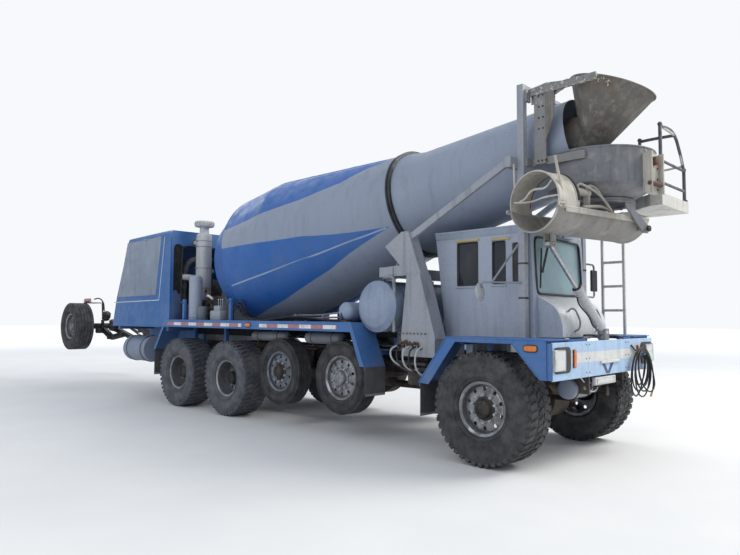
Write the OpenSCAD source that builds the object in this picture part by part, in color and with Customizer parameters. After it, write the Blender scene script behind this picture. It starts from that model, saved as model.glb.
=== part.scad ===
// Front-discharge concrete mixer truck. +X is forward, +Y is the truck's left side, +Z is up.
// The origin is on the ground under the middle of the truck.

/* [Stations along the truck] */
// Place of the front axle
front_axle_x = 5040; // [4900:10:5200]
// Front axle to the front pusher axle
front_pusher_back = 2185; // [2100:5:2250]
// Front axle to the rear pusher axle
rear_pusher_back = 3451; // [3400:5:3500]
// Front axle to the front drive axle
front_drive_back = 4678; // [4650:5:4700]
// Front axle to the rear drive axle
rear_drive_back = 6141; // [6120:5:6180]
// Front axle to the raised booster axle
booster_back = 10924; // [10850:5:11000]

/* [Wheels] */
// Over the outer faces of the tyres
track_over_tyres = 2480; // [2440:10:2520]
// Outer diameter of the front tyres
front_tyre_d = 1173; // [1140:1:1190]
// Width of the front tyres
front_tyre_w = 440; // [420:5:450]
// Outer diameter of the drive tyres
drive_tyre_d = 1140; // [1120:1:1160]
// Width of the drive tyres
drive_tyre_w = 440; // [420:5:450]
// Outer diameter of the pusher tyres
pusher_tyre_d = 930; // [900:1:960]
// Width of the pusher tyres
pusher_tyre_w = 255; // [240:5:280]
// Outer diameter of the booster tyres
booster_tyre_d = 1040; // [1010:1:1060]
// Width of the booster tyres
booster_tyre_w = 385; // [360:5:400]
// Diameter of the rims at their bead seat
rim_d = 572; // [560:1:580]
// Height of the raised pusher axles
pusher_z = 745; // [700:5:800]
// Height of the raised booster axle
booster_z = 1276; // [1200:5:1350]

/* [Frame] */
// Over the two frame rails
frame_w = 860; // [820:10:900]
// Height of a frame rail
rail_h = 280; // [240:10:300]
// Flange width of a frame rail
rail_flange = 90; // [70:5:110]
// Plate thickness of a frame rail
rail_t = 12; // [8:1:16]
// Top of the frame rails
frame_top = 1080; // [1060:5:1100]

/* [Drum] */
// Slope of the drum's axis
drum_tilt = 10.34; // [9:0.1:12]
// Place of the drum's rear head on the axis
drum_x = -655; // [-680:5:-600]
// Height of the drum's rear head on the axis
drum_z = 2338; // [2300:5:2400]
// Largest radius of the drum
drum_r = 1124; // [1080:1:1140]
// Wall of the drum
drum_wall = 10; // [8:1:20]
// Radius of the track ring's seat
ring_seat_r = 715; // [700:1:730]
// Radius of the drum's mouth
mouth_r = 495; // [470:1:500]

/* [Cab] */
// Width of the cab
cab_w = 1200; // [1150:10:1240]
// Underside of the cab
cab_z = 1285; // [1285:1:1300]
// Top of the cab
cab_top = 2530; // [2480:5:2540]
// Wall of the cab and its door
cab_wall = 40; // [30:5:50]

/* [Chute] */
// Place of the chute's swivel
swivel_x = 5800; // [5780:5:5820]
// Direction in which the stowed chute points
chute_azimuth = -100.3; // [-110:0.1:-95]
// Height of the chute's rim and of its lift pins
chute_rim_z = 2600; // [2580:5:2610]
// Outer radius of the chute's round section
chute_r = 305; // [290:1:310]
// Swivel to the outer end of the main chute
chute_reach = 1118; // [1100:1:1140]
// Swivel to the inner end of the main chute
chute_tail = 430; // [400:5:460]
// Sheet thickness of the chute
chute_t = 8; // [6:1:12]
// Length of the folding chute
fold_len = 330; // [310:5:350]

/* [Hidden] */
$fn = 96;
gap = 0.3;
front_pusher_x = front_axle_x - front_pusher_back;
rear_pusher_x = front_axle_x - rear_pusher_back;
front_drive_x = front_axle_x - front_drive_back;
rear_drive_x = front_axle_x - rear_drive_back;
booster_x = front_axle_x - booster_back;
half_track = track_over_tyres / 2;
half_frame = frame_w / 2;
frame_low = frame_top - rail_h;
cab_half = cab_w / 2;

// Deck over the rear wheels
deck_top = 1449;
deck_rear_x = -1539;
deck_front_x = 3145;
deck_edge = 117;
deck_half = 1230;
deck_inner = 640;
deck_t = 8;

// Hood
hood_front_x = -1430;
hood_low = 1318;
hood_half = 1200;
hood_wall = 30;
hood_side = [[hood_front_x, hood_low], [-3703, hood_low], [-3546, 1871], [-3066, 2985], [-1600, 3035],
             [hood_front_x, 3025]];

// Bumper
bumper_face_x = front_axle_x + 808;
bumper_top = 1278;
bumper_low = 930;
bumper_half = 1215;
fender_top = 1312;

// Collector bowl round the drum's mouth
bowl_top = 3270;
bowl_shoulder = 2910;
bowl_low = 2760;
bowl_r = 557;
outlet_r = 280;
swivel_ring_r = 345;

// Front posts of the hopper frame
post_x = 5237;
post_y = bowl_r + 126;
post_w = 76;
post_half = post_w / 2;
post_top = 4000;

// Charge hopper and its spout
hopper_half = bowl_r + 43;
hopper_x = swivel_x + 160;
hopper_z = post_top + 5;
outlet = [swivel_x - 110, 0, hopper_z - 460];
spout_r = 250;

// Drum sections along its axis: [distance from the head, outer radius]
drum_sections = [[296, 970], [741, drum_r], [1671, drum_r], [4030, ring_seat_r], [4348, 636], [6376, mouth_r]];
ring_s = 4030;
ring_r = ring_seat_r + 32;
ring_w = 75;
roller_r = 115;
roller_w = 95;
roller_angle = 34;

// Wheel table: [name, x, z, tyre diameter, tyre width, outer face from the middle, dish depth of the disc]
wheel_kinds = [
    ["front", front_axle_x, front_tyre_d / 2, front_tyre_d, front_tyre_w, half_track, 60],
    ["pusher1", front_pusher_x, pusher_z, pusher_tyre_d, pusher_tyre_w, 1155, 30],
    ["pusher2", rear_pusher_x, pusher_z, pusher_tyre_d, pusher_tyre_w, 1155, 30],
    ["drive1", front_drive_x, drive_tyre_d / 2, drive_tyre_d, drive_tyre_w, half_track, 190],
    ["drive2", rear_drive_x, drive_tyre_d / 2, drive_tyre_d, drive_tyre_w, half_track, 190],
    ["booster", booster_x, booster_z, booster_tyre_d, booster_tyre_w, half_track, 70]
];
spindle_r = 55;

// End of a wheel's spindle from the middle of the truck, inside its hub
function spindle_end(k) = k[5] - k[4] / 2 + 0.40 * k[4] - k[6] - 12;

side_names = ["right", "left"];
side_signs = [-1, 1];
wheel_nodes = [for (k = wheel_kinds) for (s = side_names) for (p = ["tyre_", "rim_"]) str(p, k[0], "_", s)];

// Box between two corners
module block(low, high) {
    translate(low) cube(high - low);
}

// Round bar from a to b
module round_bar(a, b, r) {
    d = b - a;
    length = norm(d);
    translate(a) rotate([0, acos(d[2] / length), atan2(d[1], d[0])]) cylinder(r = r, h = length);
}

// Square bar from a to b, its width level
module square_bar(a, b, w, h) {
    d = b - a;
    length = norm(d);
    translate(a) rotate([0, acos(d[2] / length), atan2(d[1], d[0])])
        translate([-h / 2, -w / 2, 0]) cube([h, w, length]);
}

// Cylinder across the truck
module cross_round(x, z, y0, y1, r) {
    translate([x, y0, z]) rotate([-90, 0, 0]) cylinder(r = r, h = y1 - y0);
}

// Side outline, points in X and Z, given a width from y0 to y1
module side_plate(points, y0, y1) {
    translate([0, y1, 0]) rotate([90, 0, 0]) linear_extrude(y1 - y0) polygon(points);
}

// Front outline, points in Y and Z, given a length from x0 to x1
module front_plate(points, x0, x1) {
    translate([x0, 0, 0]) rotate([90, 0, 90]) linear_extrude(x1 - x0) polygon(points);
}

// The same thing on the right and the left side
module both_sides() {
    children();
    mirror([0, 1, 0]) children();
}

// Local Z runs along the drum's axis from its rear head
module on_drum_axis(s = 0) {
    translate([drum_x, 0, drum_z]) rotate([0, 90 - drum_tilt, 0]) translate([0, 0, s]) children();
}

// Local X runs along the stowed chute from its swivel, local Z from the ground
module on_chute() {
    translate([swivel_x, 0, 0]) rotate([0, 0, chute_azimuth]) children();
}

// Tyre with its outer face at y = 0 and its middle at y = -w / 2 before turning; axis on local Z
module tyre_form(d, w) {
    r = d / 2;
    bead = rim_d / 2;
    rotate_extrude() polygon([
        [bead, -w * 0.40], [bead + 30, -w * 0.475], [(bead + r) / 2, -w * 0.5], [r - 75, -w * 0.49],
        [r - 22, -w * 0.455], [r, -w * 0.40], [r, w * 0.40], [r - 22, w * 0.455], [r - 75, w * 0.49],
        [(bead + r) / 2, w * 0.5], [bead + 30, w * 0.475], [bead, w * 0.40]]);
}

// Rim with its disc, dish measured inwards from the outer bead; axis on local Z, outside at +Z
module rim_form(w, dish) {
    bead = rim_d / 2 - gap;
    edge = w * 0.40;
    well = bead - 22;
    disc_z = edge - dish;
    hub_r = 150;
    difference() {
        union() {
            rotate_extrude() polygon([
                [well - 14, -edge], [bead - 2, -edge], [bead, -edge + 4], [bead, -edge + 30], [well, -edge + 55],
                [well, edge - 55], [bead, edge - 30], [bead, edge - 4], [bead - 2, edge], [well - 14, edge]]);
            translate([0, 0, disc_z - 24]) cylinder(r = well - 8, h = 24);
            translate([0, 0, disc_z - 90]) cylinder(r = hub_r, h = 130);
            translate([0, 0, disc_z + 38]) cylinder(r1 = 112, r2 = 78, h = 62 - dish * 0.1);
        }
        for (i = [0 : 9])
            rotate([0, 0, 36 * i]) translate([205, 0, disc_z - 40]) cylinder(r = 23, h = 60);
        translate([0, 0, disc_z - 91]) cylinder(r = spindle_r + 0.1, h = 81);
    }
}

// Puts a wheel form at its place on one side; sign is -1 on the right and 1 on the left
module at_wheel(kind, sign) {
    translate([kind[1], sign * (kind[5] - kind[4] / 2), kind[2]]) rotate([-90 * sign, 0, 0]) children();
}

eye_t = 30;
booster_pivot_x = -4020;
booster_pivot_z = 910;
module frame_rails() {
    rail = [[half_frame, frame_low], [half_frame, frame_top], [half_frame - rail_flange, frame_top],
        [half_frame - rail_flange, frame_top - rail_t], [half_frame - rail_t, frame_top - rail_t],
        [half_frame - rail_t, frame_low + rail_t], [half_frame - rail_flange, frame_low + rail_t],
        [half_frame - rail_flange, frame_low]];
    color("dimgray") {
        both_sides() difference() {
            union() {
                front_plate(rail, -3900, 5700);
                // Plates of the tow eyes and of the booster's hinge
                block([5675, half_frame - eye_t, frame_low - 60], [5830, half_frame, frame_low + 120]);
                block([-4110, half_frame - eye_t, frame_low - 60], [-3850, half_frame, frame_low + 240]);
            }
            for (x = [5780, -4070])
                cross_round(x, frame_low, half_frame - eye_t - 10, half_frame + 10, 22);
        }
        // Cross members between the rails' webs
        member_half = half_frame - rail_t - gap;
        for (x = [-3820, -2600, -1900, -420, 1000, 2220, 3600, 4400, 5520])
            block([x, -member_half, frame_low + 50], [x + 110, member_half, frame_top - 50]);
        // Hinge pin of the booster
        pin_half = half_frame - eye_t - gap;
        cross_round(booster_pivot_x, booster_pivot_z, -pin_half, pin_half, 34.5);
    }
}

// Axle tube with a spindle at each end
module axle_beam(k, half, r) {
    cross_round(k[1], k[2], -half, half, r);
    both_sides() cross_round(k[1], k[2], half - 1, spindle_end(k), spindle_r);
}

kingpin_y = 700;
module front_axle() {
    z = front_tyre_d / 2;
    x = front_axle_x;
    color("sienna") {
        cross_round(x, z, -640, 640, 70);
        cross_round(x, z, -60, 300, 210);
        // Kingpin yokes
        both_sides() {
            difference() {
                block([x - 65, 640 - 20, z - 150], [x + 65, 735, z + 150]);
                block([x - 70, 655, z - 95], [x + 70, 740, z + 95]);
                translate([x, kingpin_y, z - 200]) cylinder(r = 24.1, h = 400);
            }
        }
        // Leaf springs
        both_sides() for (i = [0 : 3])
            block([x - 620 + 130 * i, half_frame - 95, z + 68 + 18 * i],
                [x + 620 - 130 * i, half_frame - 5, z + 68 + 18 * i + 18]);
        both_sides() for (s = [-1, 1])
            block([x + s * 600 - 30, half_frame - 85, z + 60], [x + s * 600 + 30, half_frame - 15, frame_low - gap]);
    }
}

module knuckle(sign) {
    z = front_tyre_d / 2;
    x = front_axle_x;
    color("sienna") mirror([0, sign < 0 ? 1 : 0, 0]) {
        translate([x, kingpin_y, z - 190]) cylinder(r = 24, h = 380);
        block([x - 34, kingpin_y - 24, z - 88], [x + 34, kingpin_y + 38, z + 88]);
        cross_round(x, z, kingpin_y + 35, kingpin_y + 100, 92);
        cross_round(x, z, kingpin_y + 95, spindle_end(wheel_kinds[0]), spindle_r);
        // Steering arm below the axle's yoke
        block([x - 230, kingpin_y - 22, z - 190], [x + 22, kingpin_y + 22, z - 158]);
    }
}

module pusher_axles() {
    color("dimgray") for (k = [wheel_kinds[1], wheel_kinds[2]]) {
        x = k[1];
        axle_beam(k, 880, 54);
        both_sides() {
            // Hangers and trailing arms
            square_bar([x, half_frame + 70, pusher_z + 30], [x - 520, half_frame + 70, frame_low + 90], 70, 90);
            block([x - 580, half_frame + gap, frame_low + 20], [x - 450, half_frame + 110, frame_top - 20]);
            // Air bags
            translate([x - 60, half_frame + 110, pusher_z + 85]) cylinder(r = 100, h = 200);
            block([x - 170, half_frame + gap, pusher_z + 285], [x + 60, half_frame + 220, pusher_z + 305]);
            translate([x - 60, half_frame + 110, pusher_z + 50]) cylinder(r = 60, h = 40);
        }
    }
}

module drive_axles() {
    z = drive_tyre_d / 2;
    color("dimgray") for (k = [wheel_kinds[3], wheel_kinds[4]]) {
        x = k[1];
        axle_beam(k, 830, 80);
        cross_round(x, z, -170, 170, 220);
        both_sides() cross_round(x, z, 760, 795, 200);
    }
    // Walking beams
    color("dimgray") both_sides() {
        x_mid = (front_drive_x + rear_drive_x) / 2;
        square_bar([rear_drive_x, 560, z + 20], [x_mid, 560, z + 60], 90, 150);
        square_bar([front_drive_x, 560, z + 20], [x_mid, 560, z + 60], 90, 150);
        block([x_mid - 130, half_frame + gap, z - 30], [x_mid + 130, 620, frame_top - 70]);
    }
    // Propeller shafts
    color("gray") {
        round_bar([front_drive_x - 215, 0, z], [rear_drive_x + 215, 0, z], 55);
        round_bar([front_axle_x - 213, 120, front_tyre_d / 2], [front_drive_x + 215, 0, z + 20], 50);
        round_bar([-1958.8, 0, 730], [rear_drive_x - 215, 0, z + 30], 55);
    }
}

module engine_block() {
    color("slategray") {
        block([-3300, -330, frame_top - 50 + gap], [-2000, 330, 2150]);
        block([-2400, -200, 620], [-1970, 200, frame_top - 40]);
    }
}

module hood() {
    rounding = 130;
    module outline(inset) {
        top = 3060 - inset;
        half = hood_half - inset;
        translate([-4000, 0, 0]) rotate([90, 0, 90]) linear_extrude(3000) union() {
            translate([-half, 1000]) square([2 * half, top - rounding - 1000]);
            translate([-half + rounding, 1000]) square([2 * (half - rounding), top - 1000]);
            for (s = [-1, 1]) translate([s * (half - rounding), top - rounding]) circle(r = rounding);
        }
    }
    inner = [[hood_front_x - hood_wall, hood_low - 10], [-3672, hood_low - 10], [-3520, 1860], [-3046, 2955],
        [-1600, 3003], [hood_front_x - hood_wall, 2995]];
    color("royalblue") difference() {
        intersection() {
            outline(0);
            side_plate(hood_side, -hood_half, hood_half);
        }
        intersection() {
            outline(hood_wall);
            side_plate(inner, -hood_half + hood_wall, hood_half - hood_wall);
        }
        // Opening to the drum drive
        block([-1500, -980, 1250], [-1400, 980, 2760]);
    }
    color("dimgray") both_sides()
        block([-3600, half_frame + gap, frame_top - 120], [-1500, half_frame + 40, hood_low + 60]);
    color("dimgray") both_sides() for (x = [-3500, -1600])
        block([x, half_frame + 40, hood_low - 60], [x + 80, hood_half - hood_wall - gap, hood_low]);
}

module tanks() {
    water_tank();
    color("dimgray") both_sides() {
        translate([-3270, 930, 900]) rotate([0, 90, 0]) cylinder(r = 240, h = 860);
        for (x = [-3100, -2600]) block([x, half_frame + gap, 850], [x + 60, 720, 950]);
    }
}

module side_fenders() {
    rise = deck_top - deck_t;
    slope_low = 926;
    slope_top = hood_low - 8;
    function slope_x(z) = deck_rear_x - 385 * (deck_top - z) / (deck_top - slope_low);
    color("royalblue") both_sides() {
        block([hood_front_x + gap, deck_inner, rise], [deck_front_x, deck_half, deck_top]);
        block([deck_rear_x, deck_half - deck_t, deck_top - deck_edge], [deck_front_x, deck_half, deck_top]);
        // Sloping ends
        side_plate([[deck_front_x, deck_top], [deck_front_x + 230, 918], [deck_front_x + 222, 914],
            [deck_front_x - 4, rise]], 850, deck_half);
        side_plate([[deck_front_x, deck_top], [deck_front_x + 230, 918], [deck_front_x + 160, 918],
            [deck_front_x - 60, deck_top]], deck_half - deck_t, deck_half);
        side_plate([[slope_x(slope_top), slope_top], [slope_x(slope_low), slope_low], [slope_x(slope_low) + 8, slope_low - 4],
            [slope_x(slope_top) + 8, slope_top - 4]], flap_inner, deck_half);
        side_plate([[deck_rear_x, deck_top], [slope_x(slope_low), slope_low], [slope_x(slope_low) + 70, slope_low],
            [deck_rear_x + 60, deck_top]], deck_half - deck_t, deck_half);
        flap_hanger(flaps[0]);
        flap_hanger(flaps[1]);
        // Brackets to the frame
        for (x = [-1400, -420, 900, 2150, 3000]) {
            block([x, half_frame + gap, frame_top - 60], [x + 60, deck_inner + 100, frame_top]);
            block([x, deck_inner + 40, frame_top - 60], [x + 60, deck_inner + 100, rise + 1]);
        }
    }
}

// Flap hangers: [x, top of the flap, flap length]
flaps = [[3367, 918, 360], [-1924, 926, 450], [4232, 800, 370]];
flap_inner = 850;

module flap_hanger(f) {
    block([f[0], flap_inner, f[1] - 45], [f[0] + 8, deck_half - 15, f[1]]);
}

module mudflaps() {
    color("darkslategray") both_sides() for (f = flaps)
        block([f[0] + 8 + gap, flap_inner + 5, f[1] - f[2]], [f[0] + 14, deck_half - 20, f[1] - 10]);
}

module bumper() {
    color("royalblue") {
        block([bumper_face_x - 60, -bumper_half, bumper_low], [bumper_face_x, bumper_half, bumper_top]);
        both_sides() {
            // Fender over the front wheel
            side_plate([[4230, 800], [4620, fender_top], [5795, fender_top], [5795, bumper_low],
                [5727, bumper_low], [5417, fender_top - 42], [4734, fender_top - 42], [4370, 790]], 1222, half_track - 10);
            side_plate([[4620, fender_top], [5820, fender_top], [5820, fender_top - 10], [4624, fender_top - 10]],
                760, half_track - 10);
            side_plate([[4230, 800], [4620, fender_top], [4626, fender_top - 8], [4238, 796]], 850, half_track - 10);
            flap_hanger(flaps[2]);
            block([5770, half_frame + 2, bumper_low], [5790, bumper_half - 20, fender_top - 5]);
            // Bracket to the frame
            block([4620, half_frame + gap, 1000], [4680, half_frame + 20, 1270]);
            block([4620, half_frame + gap, 1225], [4680, 1000, 1280]);
            block([4620, 760, 1270], [4680, 1000, fender_top - 5]);
        }
        block([5700 + gap, -half_frame, frame_low + 145], [bumper_face_x - 59, half_frame, frame_top - 10]);
        // Stand of the lift cylinder's foot
        block([5740, -90, frame_top - 20], [bumper_face_x, 90, bumper_top]);
        // Peg of the coiled hose
        translate([bumper_face_x - 5, hose_centre[1], hose_centre[2] + hose_turn_r - hose_bundle_r - peg_r - gap])
            rotate([0, 90, 0]) cylinder(r = peg_r, h = 112);
    }
}

// Outline of the cab from the side
cab_rear_low = 4140;
cab_rear_top = 3980;
cab_front_low = 5330;
cab_front_top = 5270;
cab_side = [[cab_rear_low, cab_z], [cab_front_low, cab_z], [cab_front_top, cab_top], [cab_rear_top, cab_top]];

function cab_front_x(z) = cab_front_low - (cab_front_low - cab_front_top) * (z - cab_z) / (cab_top - cab_z);
nose_half = 520;
nose_top = 1752;
nose_line = [[cab_front_x(cab_z + 27) + gap, cab_z + 27], [5600, cab_z + 27], [5596, 1440], [5575, 1520], [5530, 1605],
    [5460, 1670], [5380, 1715], [cab_front_x(nose_top) + gap, nose_top]];

module cab_solid(inset) {
    side_plate([[cab_rear_low + inset, cab_z + inset], [cab_front_low - inset, cab_z + inset],
        [cab_front_top - inset, cab_top - inset], [cab_rear_top + inset, cab_top - inset]],
        -cab_half + inset, cab_half - inset);
}

// Windows of the right side: [rear x, front x, low z, high z]
side_windows = [[4307, 4596, 1892, 2391], [4795, 4962, 1900, 2375]];
door_x = [4540, 5120];
door_z = [1340, 2450];
door_pin = [door_x[0] - 8, cab_half + 14];
door_pin_z = [1480, 2280];
door_pin_r = 6;

module cab_shell() {
    color("lightsteelblue") {
        difference() {
            cab_solid(0);
            cab_solid(cab_wall);
            for (w = side_windows)
                block([w[0], -cab_half - 10, w[2]], [w[1], -cab_half + cab_wall + 10, w[3]]);
            block([door_x[0], cab_half - cab_wall - 10, door_z[0]], [door_x[1], cab_half + 10, door_z[1]]);
            block([4200, cab_half - cab_wall - 10, 1892], [4480, cab_half + 10, 2391]);
            // Windscreen and rear window
            block([5200, -520, 1780], [5400, 520, 2400]);
            block([3900, -420, 1900], [4140, 420, 2330]);
        }
        // Sheet nose over the front floor, apart from the cab's wall
        difference() {
            side_plate(nose_line, -nose_half, nose_half);
            side_plate([[nose_line[0][0] - 10, cab_z + 20], [5575, cab_z + 20], [5570, 1440], [5550, 1510],
                [5510, 1585], [5445, 1646], [5370, 1690], [5296, 1724]], -nose_half + 25, nose_half - 25);
        }
        // Hinge lugs and pins of the door
        for (z = door_pin_z) {
            block([door_pin[0] - 14, cab_half - 1, z - 14], [door_pin[0] + 9, door_pin[1] + 9, z - gap]);
            translate([door_pin[0], door_pin[1], z - 10]) cylinder(r = door_pin_r, h = 70);
        }
        // Feet on the frame
        both_sides() for (x = [4300, 5050])
            block([x, half_frame - 100, frame_top + gap], [x + 90, half_frame - 10, cab_z]);
    }
}

module cab_glass() {
    color("lightcyan") {
        for (w = side_windows)
            block([w[0] + gap, -cab_half + 16, w[2] + gap], [w[1] - gap, -cab_half + 22, w[3] - gap]);
        block([4200 + gap, cab_half - 22, 1892 + gap], [4480 - gap, cab_half - 16, 2391 - gap]);
        front = function(z) cab_front_low + (cab_front_top - cab_front_low) * (z - cab_z) / (cab_top - cab_z);
        side_plate([[front(1780) - 22, 1780 + gap], [front(1780) - 16, 1780 + gap], [front(2400) - 16, 2400 - gap],
            [front(2400) - 22, 2400 - gap]], -520 + gap, 520 - gap);
        rear = function(z) cab_rear_low + (cab_rear_top - cab_rear_low) * (z - cab_z) / (cab_top - cab_z);
        side_plate([[rear(1900) + 22, 1900 + gap], [rear(1900) + 16, 1900 + gap], [rear(2330) + 16, 2330 - gap],
            [rear(2330) + 22, 2330 - gap]], -420 + gap, 420 - gap);
    }
}

module cab_inside() {
    floor_z = cab_z + cab_wall + gap;
    color("dimgray") {
        block([4350, -220, floor_z], [4750, 220, floor_z + 330]);
        block([4300, -250, floor_z + 330], [4800, 250, floor_z + 450]);
        side_plate([[4260, floor_z + 440], [4380, floor_z + 440], [4320, floor_z + 1050], [4230, floor_z + 1050]], -240, 240);
        block([5050, -450, floor_z], [5220, 450, floor_z + 480]);
        square_bar([5070, 0, floor_z + 460], [4983, 0, floor_z + 662], 60, 60);
        translate([4985, 0, floor_z + 650]) rotate([0, -24, 0]) rotate_extrude() translate([210, 0]) circle(r = 16);
        translate([4985, 0, floor_z + 650]) rotate([0, -24, 0]) cylinder(r = 50, h = 20);
        translate([4985, 0, floor_z + 650]) rotate([0, -24, 0]) for (a = [0, 120, 240])
            rotate([0, 0, a]) translate([40, -12, 0]) cube([165, 24, 12]);
    }
}

module cab_door() {
    edge = 6;
    window = [4600, 5060, 1892, 2375];
    color("lightsteelblue") difference() {
        block([door_x[0] + edge, cab_half - cab_wall, door_z[0] + edge],
            [door_x[1] - edge, cab_half, door_z[1] - edge]);
        block([window[0], cab_half - cab_wall - 10, window[2]], [window[1], cab_half + 10, window[3]]);
    }
    color("lightcyan") block([window[0] - 1, cab_half - 22, window[2] - 1], [window[1] + 1, cab_half - 16, window[3] + 1]);
    color("gray") {
        block([door_x[1] - 160, cab_half - 1, 1790], [door_x[1] - 40, cab_half + 30, 1820]);
        for (z = door_pin_z) difference() {
            union() {
                translate([door_pin[0], door_pin[1], z]) cylinder(r = 12, h = 50);
                block([door_pin[0], cab_half + gap, z], [door_x[0] + 70, cab_half + 6, z + 50]);
                block([door_x[0] + edge + 2, cab_half - 1, z], [door_x[0] + 70, cab_half + 1, z + 50]);
            }
            translate([door_pin[0], door_pin[1], z - 1]) cylinder(r = door_pin_r + 0.1, h = 52);
        }
    }
}

// Saddle for the rollers at the front end of the drum
ring_x = drum_x + ring_s * cos(drum_tilt);
ring_z = drum_z + ring_s * sin(drum_tilt);

module at_roller(sign) {
    on_drum_axis(ring_s) rotate([0, 0, sign * roller_angle]) translate([ring_r + 0.5 + roller_r, 0, 0]) children();
}

module pedestals() {
    saddle_z = 2130;
    foot_top = cab_z - 15;
    color("lightsteelblue") {
        both_sides() {
            // Box columns, wide at the foot
            side_plate([[3770, foot_top - 1], [4290, foot_top - 1], [4060, 2020], [3858, 2020]], 800, 1000);
            side_plate([[3858, 2019], [4060, 2019], [3860, 2386 + 160], [3760, 2386 + 160], [3487, 2386]], 820, 980);
            // Braces up to the hopper frame
            square_bar([3757, 930, 2420], [5130, 830, 3180], 45, 75);
            block([5125, post_y - post_half, 3130], [post_x - post_half - gap, 860, 3245]);
            // Foot beam to the frame
            block([3780, half_frame + gap, frame_top - 20], [4280, 1000, foot_top]);
        }
        // Cross beam under the rollers
        block([3400, -985, saddle_z - 120], [3620, 985, saddle_z]);
        both_sides() side_plate([[3400, saddle_z - 120], [3860, 2019], [3860, 2150], [3400, saddle_z]], 830, 970);
    }
    color("dimgray") for (sign = [-1, 1]) {
        // Roller forks
        at_roller(sign) {
            for (e = [-1, 1]) translate([-30, -60, e * (roller_w / 2 + 22) - 10]) cube([340, 120, 20]);
            translate([0, 0, -roller_w / 2 - 20]) cylinder(r = 20, h = roller_w + 40);
        }
    }
}

module roller(sign) {
    color("gray") at_roller(sign) difference() {
        translate([0, 0, -roller_w / 2]) cylinder(r = roller_r, h = roller_w);
        translate([0, 0, -roller_w]) cylinder(r = 20.1, h = 2 * roller_w);
    }
}

module drum_drive() {
    color("lightsteelblue") {
        on_drum_axis(-520) cylinder(r = 210, h = 519.5);
        on_drum_axis(-60) cylinder(r = 290, h = 50);
        side_plate([[-1400, frame_top + gap], [-800, frame_top + gap], [-860, 1500], [-960, 2180], [-1180, 2140],
            [-1260, 1500]], -300, 300);
    }
}

module drum_shell() {
    color("gray") on_drum_axis() {
        rotate_extrude() {
            head = [for (a = [0 : 15 : 90]) [970 * sin(a), 296 * (1 - cos(a))]];
            outer = [for (s = drum_sections) [s[1], s[0]]];
            inner = [for (i = [len(drum_sections) - 1 : -1 : 0]) [drum_sections[i][1] - drum_wall, drum_sections[i][0]]];
            inner_head = [for (a = [90 : -15 : 0]) [(970 - drum_wall) * sin(a), drum_wall + 286 * (1 - cos(a))]];
            polygon(concat(head, [for (i = [1 : len(outer) - 1]) outer[i]],
                [for (i = [0 : len(inner) - 2]) inner[i]], inner_head));
        }
        // Track ring
        translate([0, 0, ring_s - ring_w / 2]) difference() {
            cylinder(r = ring_r, h = ring_w);
            translate([0, 0, -1]) cylinder(r = ring_seat_r - 12, h = ring_w + 2);
        }
    }
}

module water_tank() {
    x = 3395;
    z = 1650;
    r = 315;
    color("lightsteelblue") {
        cross_round(x, z, -1020, 1020, r);
        both_sides() translate([x, 1020, z]) rotate([-90, 0, 0])
            rotate_extrude() polygon([[0, -1], [r, -1], [r, 0], [r - 60, 50], [r - 160, 75], [0, 88]]);
        both_sides() block([x - 200, 345, frame_top + gap], [x + 200, 425, z - 200]);
    }
    color("lightsteelblue") translate([2900, -1080, 1590]) rotate([-90, 0, 0]) cylinder(r = 118, h = 300);
    color("lightsteelblue") block([2860, -1000, deck_top + gap], [2940, -860, 1500]);
}

module canisters() {
    x = -1150;
    y = -715;
    color("lightgray") {
        translate([x, y, 1800]) cylinder(r = 135, h = 1190);
        translate([x, y, 2980]) cylinder(r = 85, h = 120);
        translate([x, y, 3090]) cylinder(r = 170, h = 110);
        block([hood_front_x + gap, y - 60, 2800], [x, y + 60, 2860]);
    }
    color("lightsteelblue") {
        translate([-915, -1000, deck_top + gap]) cylinder(r = 110, h = 700);
        translate([-915, -1000, deck_top + 700]) rotate_extrude() polygon([[0, 0], [110, 0], [92, 40], [55, 62], [0, 72]]);
        translate([-650, -1010, deck_top + gap]) cylinder(r = 85, h = 230);
    }
}

module hopper_frame() {
    post_front = post_x + post_half;
    arm_low = bowl_top - 115;
    color("lightsteelblue") {
        both_sides() {
            block([post_x - post_half, post_y - post_half, 1205], [post_x + post_half, post_y + post_half, post_top + 50]);
            // Foot to the frame
            block([post_x - 55, half_frame + gap, 1205], [post_x + 55, post_y, 1279]);
            block([post_x - 55, half_frame + gap, 980], [post_x + 55, half_frame + 40, 1279]);
            // Arms beside the bowl and the hopper
            block([post_front - 1, bowl_r + gap, arm_low], [swivel_x + 100, bowl_r + 30, arm_low + 85]);
            block([post_front - 1, bowl_r + gap, arm_low], [post_front + 25, post_y, arm_low + 85]);
            block([post_front - 1, hopper_half + gap, post_top - 75], [hopper_x + 90, hopper_half + 24, hopper_z]);
            block([post_front - 1, hopper_half + gap, post_top - 140], [post_front + 25, post_y, post_top - 5]);
            // Cheek between the post and the hopper's mouth
            side_plate([[post_front + 24, post_top - 160], [5480, post_top - 150], [5700, post_top - 62],
                [5778, post_top - 12], [5778, post_top + 3], [5480, post_top + 45], [post_front + 24, post_top + 20]],
                bowl_r + 18, bowl_r + 31);
            block([post_front + 70, bowl_r + 29, arm_low + 10], [post_front + 205, hopper_half + 10, post_top + 20]);
        }
        // Bar over the drum's neck
        block([post_x - 36, -post_y - 30, post_top + 10], [post_x + 36, post_y + 30, post_top + 49]);
    }
}

// Charge hopper: an oblique cone, open at its top, with its spout in the drum's mouth
module hopper_form(wall) {
    hull() {
        translate([hopper_x, 0, hopper_z]) rotate([0, 16, 0])
            scale([0.67, 1, 1]) cylinder(r = hopper_half - wall, h = 1);
        translate(outlet) rotate([0, -90 - drum_tilt, 0]) cylinder(r = spout_r - wall, h = 1, $fn = 48);
    }
}

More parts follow.
